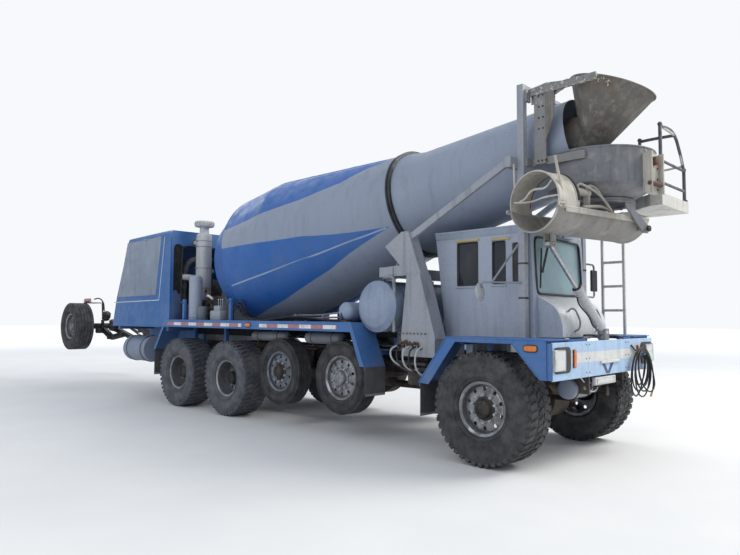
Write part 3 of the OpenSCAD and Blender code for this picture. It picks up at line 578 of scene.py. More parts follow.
HOOD_BLUE = WornPaint("hood_blue", (44, 100, 162), fade=0.03, grime=0.28, dust=0.28)
DEEP_BLUE = WornPaint("deep_blue", (30, 60, 108), fade=0.05)
PANEL_GREY = WornPaint("panel_grey", (128, 141, 158))
CAB_PAINT = WornPaint("cab_paint", (152, 161, 177), fade=0.06, grime=0.3)
POST_PAINT = WornPaint("post_paint", (148, 152, 160), fade=0.05, grime=0.45, chips=0.8)
PIPE_WHITE = WornPaint("pipe_white", (186, 188, 190), fade=0.03, grime=0.4)
DULL_TANK = WornPaint("dull_tank", (98, 104, 114), fade=0.03, grime=0.5, dust=0.6)
TANK_PAINT = WornPaint("tank_paint", (122, 138, 164))
# Blue paint of the bumper's face, made pale as painted sunlight.
LIT_BUMPER_BLUE = WornPaint("lit_bumper_blue", (166, 196, 228), dust=0.2)
CREAM_PAINT = WornPaint("cream_paint", (206, 203, 194), grime=0.45, chips=0.8)
STRIPE_PAINT = WornPaint("stripe_paint", (214, 214, 210), dust=0.2)
DRUM_PAINT = DrumPaint("drum_paint", (138, 148, 166), fade=0.012, grime=0.2, dust=0.0, chips=0.3)
FRAME_PAINT = HopperFramePaint("hopper_frame_paint", (148, 152, 160), fade=0.03, grime=0.45, dust=0.0)
HOPPER_STEEL = ConcreteSteel("hopper_steel", (118, 114, 108), rust=0.45, crust=0.35)
BOWL_STEEL = ConcreteSteel("bowl_steel", (128, 131, 136), rust=0.25, crust=0.3)
CHUTE_STEEL = ConcreteSteel("chute_steel", (152, 149, 144), rust=0.25, crust=0.4)
CREAM_STEEL = ConcreteSteel("cream_steel", (198, 193, 182), rust=0.35, crust=0.4)
INNER_STEEL = ConcreteSteel("inner_steel", (96, 84, 76), rust=0.8, crust=0.6)
CHASSIS_IRON = GreasyIron("chassis_iron", (52, 52, 54))
AXLE_IRON = GreasyIron("axle_iron", (62, 54, 47), amount=0.7)
ENGINE_IRON = GreasyIron("engine_iron", (66, 70, 76), amount=0.4)
TRACK_IRON = GreasyIron("track_iron", (46, 49, 56), amount=0.3, cake=(90, 90, 92))
TYRE_RUBBER = DustyRubber("tyre_rubber", (38, 39, 42))
GREY_RUBBER = DustyRubber("grey_rubber", (62, 68, 78), dust=0.6)
CLEAN_RUBBER = DustyRubber("clean_rubber", (30, 31, 34), dust=0.25)
RIM_ALLOY = RoadMetal("rim_alloy", (150, 152, 156), 0.36, 0.6)
RIM_DARK = RoadMetal("rim_dark", (112, 118, 128), 0.42, 0.5, 0.6)
HUB_BLACK = GreasyIron("hub_black", (44, 45, 48), amount=0.3)
PLATED = RoadMetal("plated", (182, 184, 186), 0.22, 0.25)
RAIL_METAL = RoadMetal("rail_metal", (142, 146, 154), 0.5, 0.5, 0.35)
RAIL_GREY = RoadMetal("rail_grey", (104, 104, 112), 0.6, 0.6, 0.3)
BLACK_TRIM = Moulding("black_trim", (30, 31, 33))
HOSE_BLACK = Moulding("hose_black", (24, 25, 27), 0.55)
YELLOW_TRIM = Moulding("yellow_trim", (182, 158, 92), 0.55)
SEAT_CLOTH = Moulding("seat_cloth", (58, 58, 62), 0.85)
# Its colour is the front glass's painted sky reflection; the sides get painted shade.
WINDOW_GLASS = Glazing("window_glass", (188, 220, 228))
LAMP_CLEAR = LampLens("lamp_clear", (222, 224, 222))
LAMP_AMBER = LampLens("lamp_amber", (226, 120, 32))
LAMP_RED = LampLens("lamp_red", (168, 24, 24))
SIDE_TAPE = MarkerTape("side_tape", (214, 214, 214), block=0.24, start=0.408)
# Nose top in the cab's paint, made white as painted sunlight.
NOSE_SUNLIT_PAINT = WornPaint("nose_sunlit_paint", (206, 209, 212), fade=0.04, grime=0.3, dust=0.2)
RUST_PIPE = RoadMetal("rust_pipe", (104, 74, 56), 0.7, 0.8, 0.3)
TAPE_PLATE = Moulding("tape_plate", (182, 150, 146), 0.6)
SHADE = Moulding("shade", (17, 18, 21), 0.9, dust=0.05)
FLAP_RUBBER = DustyRubber("flap_rubber", (72, 73, 77), dust=0.3)
BRASS = RoadMetal("brass", (176, 146, 84), 0.35, 0.4)
SPLASH = Moulding("splash", (176, 172, 162), 0.95)


class PaintShop:
    """Keeps each finish's material, made once."""

    def __init__(self) -> None:
        """Starts with no material made."""
        self.shelf: dict[str, bpy.types.Material] = {}

    def mix(self, finish: Finish) -> bpy.types.Material:
        """Gives the material of a finish.

        Args:
            finish: The finish that is wanted.

        Returns:
            Its material.
        """
        if finish.name not in self.shelf:
            self.shelf[finish.name] = finish.make()
        return self.shelf[finish.name]

    def coat(self, node: str, *finishes: Finish) -> None:
        """Gives a node of the frame its finishes, one for each of its slots in order.

        Args:
            node: Name of the node.
            finishes: Finishes; the last one is used for any slots left.
        """
        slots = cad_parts[node].material_slots
        for index, slot in enumerate(slots):
            slot.material = self.mix(finishes[min(index, len(finishes) - 1)])


SHOP = PaintShop()


def placed(origin: Point, forward: Point, side: Point) -> Matrix:
    """Matrix of a place whose Z runs forward and whose X lies towards a side.

    Args:
        origin: Its origin.
        forward: Direction of its Z axis.
        side: Rough direction of its X axis.

    Returns:
        The matrix.
    """
    z = Vector(forward).normalized()
    y = z.cross(Vector(side)).normalized()
    matrix = Matrix((y.cross(z), y, z)).transposed().to_4x4()
    matrix.translation = Vector(origin)
    return matrix


def upright(origin: Point) -> Matrix:
    """Place whose Z runs up and whose X runs forward."""
    return placed(origin, (0, 0, 1), (1, 0, 0))


def lengthwise(origin: Point) -> Matrix:
    """Place whose Z runs forward and whose X runs to the left."""
    return placed(origin, (1, 0, 0), (0, 1, 0))


def crosswise(origin: Point) -> Matrix:
    """Place whose Z runs to the left and whose X runs forward."""
    return placed(origin, (0, 1, 0), (1, 0, 0))


def rounded_loop(u0: float, u1: float, v0: float, v1: float, radius: float) -> list[tuple[float, float]]:
    """Points round a rectangle with rounded corners, the first one repeated.

    Args:
        u0: Its low side.
        u1: Its high side.
        v0: Its lower side.
        v1: Its upper side.
        radius: Radius of its corners.

    Returns:
        The points, in order.
    """
    middles = ((u1 - radius, v0 + radius, -90), (u1 - radius, v1 - radius, 0),
            (u0 + radius, v1 - radius, 90), (u0 + radius, v0 + radius, 180))
    loop = [(u + radius * math.cos(math.radians(start + turn)), v + radius
            * math.sin(math.radians(start + turn))) for u, v, start in middles for turn in (0, 30, 60, 90)]
    return loop + loop[:1]


def faces_round(verts: Iterable[bmesh.types.BMVert]) -> list[bmesh.types.BMFace]:
    """Lists the faces that meet at these vertices."""
    return list({f for v in verts for f in v.link_faces})


class Workpiece:
    """One mesh in the making, in metres in the row frame."""

    def __init__(self, name: str, finish: Finish) -> None:
        """Starts an empty mesh.

        Args:
            name: Name of the piece.
            finish: Finish of its first faces.
        """
        self.name = name
        self.mesh = bmesh.new()
        self.finishes: list[Finish] = []
        self.slot = 0
        self.use(finish)

    def use(self, finish: Finish) -> "Workpiece":
        """Sets the finish of the faces that come next.

        Args:
            finish: The finish.

        Returns:
            The workpiece itself.
        """
        if finish not in self.finishes:
            self.finishes.append(finish)
        self.slot = self.finishes.index(finish)
        return self

    def since(self, before: set[bmesh.types.BMVert]) -> list[bmesh.types.BMVert]:
        """Lists the vertices made since these."""
        return [v for v in self.mesh.verts if v not in before]

    def paint(self, verts: Iterable[bmesh.types.BMVert]) -> None:
        """Gives the faces round these vertices the finish in use."""
        for face in {f for v in verts if v.is_valid for f in v.link_faces}:
            face.material_index = self.slot

    def soften(self, verts: list[bmesh.types.BMVert], size: float, segments: int = 2,
            corner: float = 30.0) -> None:
        """Rounds the sharp edges of a new shape.

        Args:
            verts: Its vertices.
            size: Width of the rounding.
            segments: Facets of the rounding.
            corner: Edges sharper than this, in degrees, are rounded.
        """
        edges = {e for v in verts for e in v.link_edges
                if len(e.link_faces) == 2 and e.calc_face_angle(0) > math.radians(corner)}
        if edges and size > 0:
            made = bmesh.ops.bevel(self.mesh, geom=list(edges), offset=size, segments=segments,
                    affect="EDGES", profile=0.5, material=-1)
            for face in made["faces"]:
                face.material_index = self.slot

    def box(self, low: Point, high: Point, soft: float = 0.0, place: Matrix | None = None,
            segments: int = 2) -> None:
        """Adds a block between two corners.

        Args:
            low: Lowest corner.
            high: Highest corner.
            soft: Rounding of its edges.
            place: Frame that the corners are given in.
            segments: Facets of the rounding.
        """
        low, high = Vector(low), Vector(high)
        size = high - low
        matrix = (place or Matrix()) @ Matrix.Translation((low + high) / 2) @ Matrix.Diagonal((*size, 1))
        verts = bmesh.ops.create_cube(self.mesh, size=1, matrix=matrix)["verts"]
        self.paint(verts)
        self.soften(verts, soft, segments)

    def bar(self, start: Point, end: Point, width: float, height: float, soft: float = 0.004) -> None:
        """Adds a square bar between two points, its width level.

        Args:
            start: Middle of its first end.
            end: Middle of its other end.
            width: Its level width.
            height: Its height.
            soft: Rounding of its edges.
        """
        start, end = Vector(start), Vector(end)
        along = end - start
        side = along.cross(Vector((0, 0, 1)))
        place = placed(start, along, side if side.length > 1e-6 else (0, 1, 0))
        self.box((-width / 2, -height / 2, 0), (width / 2, height / 2, along.length), soft, place)

    def rod(self, start: Point, end: Point, radius: float, sides: int = 16,
            end_radius: float | None = None, soft: float = 0.0) -> None:
        """Adds a round bar or cone between two points.

        Args:
            start: Middle of its first end.
            end: Middle of its other end.
            radius: Its radius.
            sides: Facets round it.
            end_radius: Radius at the other end.
            soft: Rounding of its end edges.
        """
        start, end = Vector(start), Vector(end)
        along = end - start
        side = (1, 0, 0) if abs(along.normalized().x) < 0.9 else (0, 1, 0)
        matrix = placed((start + end) / 2, along, side)
        made = bmesh.ops.create_cone(self.mesh, cap_ends=True, segments=sides, radius1=radius,
                radius2=radius if end_radius is None else end_radius, depth=along.length, matrix=matrix)
        self.paint(made["verts"])
        self.soften(made["verts"], soft, 2, 50)

    def ball(self, middle: Point, radius: float, squash: Point = (1, 1, 1)) -> None:
        """Adds a ball, flattened where wanted.

        Args:
            middle: Its middle.
            radius: Its radius.
            squash: Scale on each axis.
        """
        matrix = Matrix.Translation(middle) @ Matrix.Diagonal((*squash, 1))
        self.paint(bmesh.ops.create_uvsphere(self.mesh, u_segments=16, v_segments=10, radius=radius,
                matrix=matrix)["verts"])

    def rivets(self, points: Iterable[Point], normal: Point, radius: float) -> None:
        """Adds low round heads on a surface.

        Args:
            points: Their middles.
            normal: Direction that the surface faces.
            radius: Their radius.
        """
        place = placed((0, 0, 0), normal, (0, 0, 1) if abs(normal[2]) < 0.9 else (1, 0, 0))
        for point in points:
            matrix = Matrix.Translation(Vector(point) + Vector(normal).normalized() * radius * 0.25) @ place
            made = bmesh.ops.create_cone(self.mesh, cap_ends=True, segments=8, radius1=radius,
                    radius2=radius * 0.6, depth=radius * 0.6, matrix=matrix)
            self.paint(made["verts"])

    def lathe(self, profile: Sequence[tuple[float, float]], place: Matrix, steps: int = 48,
            closed: bool = False) -> list[bmesh.types.BMVert]:
        """Turns a profile of (radius, height) about the Z axis of a place.

        Args:
            profile: Points of the profile.
            place: Frame of the turning axis.
            steps: Facets round it.
            closed: Whether the last point joins the first.

        Returns:
            The new vertices.
        """
        before = set(self.mesh.verts)
        line = [self.mesh.verts.new(place @ Vector((r, 0, h))) for r, h in profile]
        pairs = list(zip(line, line[1:])) + ([(line[-1], line[0])] if closed else [])
        edges = [self.mesh.edges.new(pair) for pair in pairs]
        bmesh.ops.spin(self.mesh, geom=line + edges, cent=place.translation,
                axis=place.to_3x3() @ Vector((0, 0, 1)), angle=math.tau, steps=steps, use_merge=True)
        verts = self.since(before)
        bmesh.ops.remove_doubles(self.mesh, verts=verts, dist=1e-5)
        verts = self.since(before)
        self.paint(verts)
        bmesh.ops.recalc_face_normals(self.mesh, faces=faces_round(verts))
        return verts

    def torus(self, place: Matrix, radius: float, thick: float, steps: int = 48, sides: int = 10) -> None:
        """Adds a round ring about the Z axis of a place.

        Args:
            place: Frame of its axis.
            radius: Radius of its middle line.
            thick: Radius of its section.
            steps: Facets round it.
            sides: Facets of its section.
        """
        circle = [(radius + thick * math.cos(math.tau * i / sides), thick * math.sin(math.tau * i / sides))
                for i in range(sides)]
        self.lathe(circle, place, steps, True)

    def plate(self, outline: Sequence[Point], depth: Point, soft: float = 0.0, segments: int = 2) -> None:
        """Adds a flat outline with a thickness.

        Args:
            outline: Corner points, in order.
            depth: Vector of its thickness.
            soft: Rounding of its edges.
            segments: Facets of the rounding.
        """
        before = set(self.mesh.verts)
        face = self.mesh.faces.new([self.mesh.verts.new(p) for p in outline])
        top = bmesh.ops.extrude_face_region(self.mesh, geom=[face])["geom"]
        bmesh.ops.translate(self.mesh, verts=[g for g in top if isinstance(g, bmesh.types.BMVert)],
                vec=Vector(depth))
        verts = self.since(before)
        bmesh.ops.recalc_face_normals(self.mesh, faces=faces_round(verts))
        self.paint(verts)
        self.soften(verts, soft, segments)

    def pipe(self, points: Sequence[Point], radius: float, fine: int = 6, sides: int = 2) -> None:
        """Adds a bent pipe through points.

        Args:
            points: Points of its middle line.
            radius: Its radius.
            fine: Steps between two points.
            sides: Roundness of its section.
        """
        curve = tube("pipe", radius, fine, sides)
        spline = curve.splines.new("BEZIER")
        spline.bezier_points.add(len(points) - 1)
        for knot, point in zip(spline.bezier_points, points):
            knot.co = point
            knot.handle_left_type = knot.handle_right_type = "AUTO"
        helper = enter("pipe", curve)
        skin = bpy.data.meshes.new_from_object(helper.evaluated_get(bpy.context.evaluated_depsgraph_get()))
        before = set(self.mesh.verts)
        self.mesh.from_mesh(skin)
        self.paint(self.since(before))
        bpy.data.objects.remove(helper)
        bpy.data.curves.remove(curve)
        bpy.data.meshes.remove(skin)

    def mirror(self) -> None:
        """Adds the same shapes on the other side of the truck."""
        made = bmesh.ops.duplicate(self.mesh, geom=self.mesh.verts[:] + self.mesh.edges[:]
                + self.mesh.faces[:])["geom"]
        verts = [g for g in made if isinstance(g, bmesh.types.BMVert)]
        bmesh.ops.scale(self.mesh, verts=verts, vec=(1, -1, 1))
        bmesh.ops.reverse_faces(self.mesh, faces=[g for g in made if isinstance(g, bmesh.types.BMFace)])

    def fit(self, body: str, slot: str, replaced: Sequence[str] = (),
            sharp: float = 35.0) -> bpy.types.Object:
        """Makes the object, gives it its finishes and lets it ride on a body.

        Args:
            body: Body that it moves with.
            slot: Material slot of the record; not used.
            replaced: Nodes of the frame that it stands for.
            sharp: Edges sharper than this, in degrees, stay sharp.

        Returns:
            The object.
        """
        mesh = bpy.data.meshes.new(self.name)
        self.mesh.to_mesh(mesh)
        self.mesh.free()
        for finish in self.finishes:
            mesh.materials.append(SHOP.mix(finish))
        mesh.shade_smooth()
        mesh.set_sharp_from_angle(angle=math.radians(sharp))
        piece = enter(self.name, mesh)
        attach(piece, body)
        if replaced:
            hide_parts(*replaced)
        LOG.info("%s: %d faces on %s", self.name, len(mesh.polygons), body)
        return piece


@dataclass
class Studio:
    """Pale floor, soft lamps and the camera at the photograph's place."""

    camera_place: tuple[float, float, float] = (8.795, -6.678, 1.529)
    heading: float = 44.313
    pitch: float = 3.491
    roll: float = -0.265
    focal: float = 30.85
    key: float = 2800.0
    fill: float = 620.0
    sky: float = 0.76
    floor_half: float = 90.0
    floor_drop: float = 0.002

    def shoot(self) -> None:
        """Sets the camera: heading from +Y towards -X, pitch up and roll, in degrees."""
        heading, pitch = math.radians(self.heading), math.radians(self.pitch)
        ahead = Vector((-math.sin(heading) * math.cos(pitch), math.cos(heading) * math.cos(pitch),
                math.sin(pitch)))
        right = ahead.cross(Vector((0, 0, 1))).normalized()
        turn = Matrix.Rotation(math.radians(self.roll), 3, ahead)
        right = turn @ right
        up = right.cross(ahead)
        lens = bpy.data.cameras.new("camera")
        lens.lens = self.focal
        lens.sensor_width = 36.0
        lens.clip_end = 300.0
        camera = enter("camera", lens)
        camera.matrix_world = Matrix((right, up, -ahead)).transposed().to_4x4()
        camera.location = self.camera_place
        bpy.context.scene.camera = camera

    def lamp(self, name: str, place: Point, aim: Point, power: float, size: float, colour: Point) -> None:
        """Adds a square soft lamp.

        Args:
            name: Its name.
            place: Where it hangs.
            aim: What it points at.
            power: Its watts.
            size: Its side in metres.
            colour: Its light's colour.
        """
        light = bpy.data.lights.new(name, "AREA")
        light.energy = power
        light.size = size
        light.color = colour
        holder = enter(name, light)
        holder.location = place
        holder.rotation_euler = (Vector(aim) - Vector(place)).to_track_quat("-Z", "Y").to_euler()

    def light(self) -> None:
        """Hangs the lamps and sets a pale world, white for the camera and through glass."""
        self.lamp("key_lamp", (13, 9, 13), (0.5, 0, 1.6), self.key, 9, (1.0, 0.97, 0.92))
        self.lamp("side_lamp", (4, -16, 9), (0.5, 0, 1.4), self.fill, 11, (0.90, 0.95, 1.0))
        self.lamp("rear_lamp", (-14, 3, 10), (-1, 0, 1.5), self.fill * 0.7, 9, (0.95, 0.97, 1.0))
        world = bpy.data.worlds.new("pale_room")
        bpy.context.scene.world = world
        world.use_nodes = True
        tree = world.node_tree
        tree.nodes.clear()
        ray = tree.nodes.new("ShaderNodeLightPath")
        seen = tree.nodes.new("ShaderNodeMath")
        seen.operation = "MAXIMUM"
        room, wall = (tree.nodes.new("ShaderNodeBackground") for _ in range(2))
        for node, colour, strength in ((room, (0.86, 0.91, 1.0, 1), self.sky),
                (wall, (0.93, 0.95, 0.97, 1), 1.0)):
            node.inputs["Color"].default_value = colour
            node.inputs["Strength"].default_value = strength
        mix = tree.nodes.new("ShaderNodeMixShader")
        output = tree.nodes.new("ShaderNodeOutputWorld")
        for source, target in ((ray.outputs["Is Camera Ray"], seen.inputs[0]),
                (ray.outputs["Is Transmission Ray"], seen.inputs[1]), (seen.outputs[0], mix.inputs["Fac"]),
                (room.outputs[0], mix.inputs[1]), (wall.outputs[0], mix.inputs[2]),
                (mix.outputs[0], output.inputs["Surface"])):
            tree.links.new(source, target)

    def floor(self) -> None:
        """Lays the pale floor, which fades into the wall far from the truck for the camera alone."""
        plane = bmesh.new()
        bmesh.ops.create_grid(plane, x_segments=1, y_segments=1, size=self.floor_half)
        bmesh.ops.translate(plane, verts=plane.verts[:], vec=(0, 0, -self.floor_drop))
        mesh = bpy.data.meshes.new("floor")
        plane.to_mesh(mesh)
        plane.free()
        sheet = NodeSheet("pale_floor")
        shade = sheet.stain(linear((224, 224, 222)), (215, 216, 216), sheet.noise(0.8, 5), 0.3, 0.7, 0.5)
        far = sheet.add("ShaderNodeVectorMath", {0: sheet.place}, operation="LENGTH").outputs["Value"]
        ray = sheet.add("ShaderNodeLightPath")
        sheet.set("Emission Color", (0.9, 0.93, 0.96, 1))
        glow = sheet.ramp(far, 8.0, 34.0)
        sheet.set("Emission Strength", sheet.times(glow, ray.outputs["Is Camera Ray"]))
        mesh.materials.append(sheet.finish(sheet.stain(shade, (70, 71, 72), far, 10.0, 40.0), 0.85))
        enter("floor", mesh)

    def build(self) -> None:
        """Sets the view, the camera, the lamps and the floor."""
        bpy.context.scene.view_settings.view_transform = "Standard"
        self.shoot()
        self.light()
        self.floor()


@dataclass
class MixerDrum:
    """Drum with its painted wedges, weld seams, track ring, hatch and flights.

    s runs along its axis from the head. A bead is given by its height and half width, a flight by
    where it starts, its run, its turns and its height.
    """

    tilt: float = 10.34
    head: tuple[float, float, float] = (-0.655, 0.0, 2.338)
    wall: float = 0.010
    ring_s: float = 4.030
    ring_r: float = 0.747
    ring_w: float = 0.075
    sections: tuple[tuple[float, float], ...] = ((0.296, 0.970), (0.741, 1.124), (1.671, 1.124),
            (4.030, 0.715), (4.348, 0.636), (6.376, 0.495))
    seams: tuple[float, ...] = (0.741, 1.507, 2.200, 3.089, 4.562, 5.4)
    bead: tuple[float, float] = (0.004, 0.03)
    wedge_tip: float = 3.925
    line_span: tuple[float, float] = (0.75, 3.9)
    line_half: float = 0.012
    line_turn: float = -1.2
    splash_s: float = 5.2
    hatch_s: float = 1.2
    hatch_angle: float = 150.0
    flight: tuple[float, float, float, float] = (4.2, 2.08, 1.6, 0.19)
    steps: int = 240

    def place(self, s: float = 0.0) -> Matrix:
        """Frame on the drum's axis, Z forward and X down.

        Args:
            s: Distance along the axis from the head.

        Returns:
            The frame.
        """
        tilt = math.radians(self.tilt)
        axis = Vector((math.cos(tilt), 0, math.sin(tilt)))
        return placed(Vector(self.head) + axis * s, axis, (0, 0, -1))

    def radius(self, s: float) -> float:
        """Outer radius at a distance along the axis.

        Args:
            s: Distance along the axis.

        Returns:
            The radius.
        """
        if s < self.sections[0][0]:
            return self.sections[0][1] * math.sqrt(max(0.0, 1 - (1 - s / self.sections[0][0]) ** 2))
        return between(self.sections, s)

    def profile(self) -> list[tuple[float, float]]:
        """Outline of the shell from the middle of the head to the mouth and back inside.

        Returns:
            The points as (radius, s).
        """
        head, (height, half) = self.sections[0][0], self.bead
        stations = [head * (1 - math.cos(math.radians(a))) for a in range(0, 90, 6)]
        stations += [head + 0.0445 * i for i in range(138)]
        outline = []
        for s in stations:
            bead = max(height * max(0.0, 1 - abs(s - seam) / half) for seam in self.seams)
            outline.append((self.radius(s) + bead, s))
        mouth_s, mouth_r = self.sections[-1]
        outline += [(mouth_r, mouth_s - 0.03), (mouth_r, mouth_s), (mouth_r - self.wall, mouth_s)]
        outline += [(self.radius(s) - self.wall, s) for s in (5.9, 5.2, 4.348, 4.03, 3.2, 2.4, 1.671, 1.2,
                0.741, 0.296)]
        return outline + [(0.5, 0.06), (0.0, 0.02)]

    def edges(self, s: float) -> list[tuple[float, float]]:
        """Angles between which each wedge lies.

        Args:
            s: Distance along the axis.

        Returns:
            Lower and upper angle of the four wedges, in degrees.
        """
        top = between(((0.0, -12.0), (0.756, -6.3), (2.507, 7.9), (3.925, 28.7)), s)
        bottom = between(((0.0, 66.0), (0.741, 60.0), (1.274, 54.8), (2.049, 49.0), (2.727, 44.1),
                (3.177, 37.4), (3.925, 28.7)), s)
        low = between(((0.0, -24.0), (0.856, -22.7), (1.478, -21.7), (2.499, -26.1), (3.189, -33.9),
                (3.824, -56.5), (3.925, -58.0)), s)
        high = -116.0 - low
        return [(top, bottom), (high, low), (top + 180, bottom + 180), (high + 180, low + 180)]

    def mark(self, piece: Workpiece) -> None:
        """Keeps on each vertex how far it lies inside a wedge, a thin line and the splashed rim.

        Args:
            piece: The shell.
        """
        wedge, line, splash = (piece.mesh.verts.layers.float.new(name)
                for name in ("wedge", "line", "splash"))
        shoulder, (line_from, line_to) = self.sections[1][0], self.line_span
        inverse = self.place().inverted()
        for vert in piece.mesh.verts:
            x, y, s = inverse @ vert.co
            r = max(math.hypot(x, y), 0.05)
            angle = math.degrees(math.atan2(y, x)) + 90
            arc = math.radians(r)
            inside = streak = -1.0
            for low, high in self.edges(s):
                middle = (low + high) / 2
                turn = (angle - middle + 180) % 360 - 180
                inside = max(inside, ((high - low) / 2 - abs(turn)) * arc)
                if line_from < s < line_to:
                    lead = self.line_turn * (line_to - s) / (line_to - line_from)
                    streak = max(streak, self.line_half - abs(turn - lead) * arc)
            body = shoulder < s < self.wedge_tip
            vert[wedge] = inside if body else (0.05 if s <= shoulder else -0.05)
            vert[line] = streak if body else -0.05
            vert[splash] = max(0.0, min(1.0, s - self.splash_s))

    def build(self) -> None:
        """Builds the shell with its seams, and what turns with it."""
        piece = Workpiece("mixer_drum_shell", DRUM_PAINT)
        piece.lathe(self.profile(), self.place(), self.steps)
        self.mark(piece)
        self.track(piece)
        self.hatch(piece)
        self.flights(piece)
        piece.fit("drum", "grey_paint", ["drum_shell"], 25)

    def track(self, piece: Workpiece) -> None:
        """Adds the track ring: a grooved band on a seat.

        Args:
            piece: The drum.
        """
        half, r = self.ring_w / 2, self.ring_r
        piece.use(TRACK_IRON)
        piece.lathe([(r - 0.036, -half), (r - 0.002, -half), (r, -half + 0.002), (r, -0.009),
                (r - 0.01, -0.007), (r - 0.01, 0.007), (r, 0.009), (r, half - 0.002), (r - 0.002, half),
                (r - 0.036, half)], self.place(self.ring_s), 160, True)

    def hatch(self, piece: Workpiece) -> None:
        """Adds the inspection hatch and its nuts, on the side away from the camera.

        Args:
            piece: The drum.
        """
        s, angle = self.hatch_s, math.radians(self.hatch_angle)
        frame_at = self.place(s)
        out = frame_at.to_3x3() @ Vector((math.cos(angle), math.sin(angle), 0))
        seat = placed(frame_at.translation + out * (self.radius(s) - 0.002), out,
                frame_at.to_3x3() @ Vector((0, 0, 1)))
        piece.use(DRUM_PAINT)
        piece.box((-0.24, -0.18, -0.03), (0.24, 0.18, 0.012), 0.01, seat)
        for i in range(12):
            turn = math.tau * i / 12
            nut = seat @ Vector((0.20 * math.cos(turn), 0.145 * math.sin(turn), 0.012))
            piece.rod(nut, nut + out * 0.014, 0.013, 6)

    def flights(self, piece: Workpiece) -> None:
        """Adds the two spiral flights inside the mouth.

        Args:
            piece: The drum.
        """
        piece.use(INNER_STEEL)
        first_s, run, turns, height = self.flight
        for start in (0.0, math.pi):
            before = set(piece.mesh.verts)
            rows: list[list[bmesh.types.BMVert]] = []
            for i in range(73):
                s = first_s + run * i / 72
                turn = start + math.tau * turns * i / 72
                frame_at = self.place(s)
                outward = frame_at.to_3x3() @ Vector((math.cos(turn), math.sin(turn), 0))
                edge = self.radius(s) - self.wall - 0.002
                rows.append([piece.mesh.verts.new(frame_at.translation + outward * r)
                        for r in (edge, edge - height)])
            pairs = [piece.mesh.edges.new(row) for row in rows]
            for first, second in zip(pairs, pairs[1:]):
                bmesh.ops.bridge_loops(piece.mesh, edges=[first, second])
            verts = piece.since(before)
            piece.paint(verts)
            faces = faces_round(verts)
            bmesh.ops.solidify(piece.mesh, geom=faces, thickness=0.006)


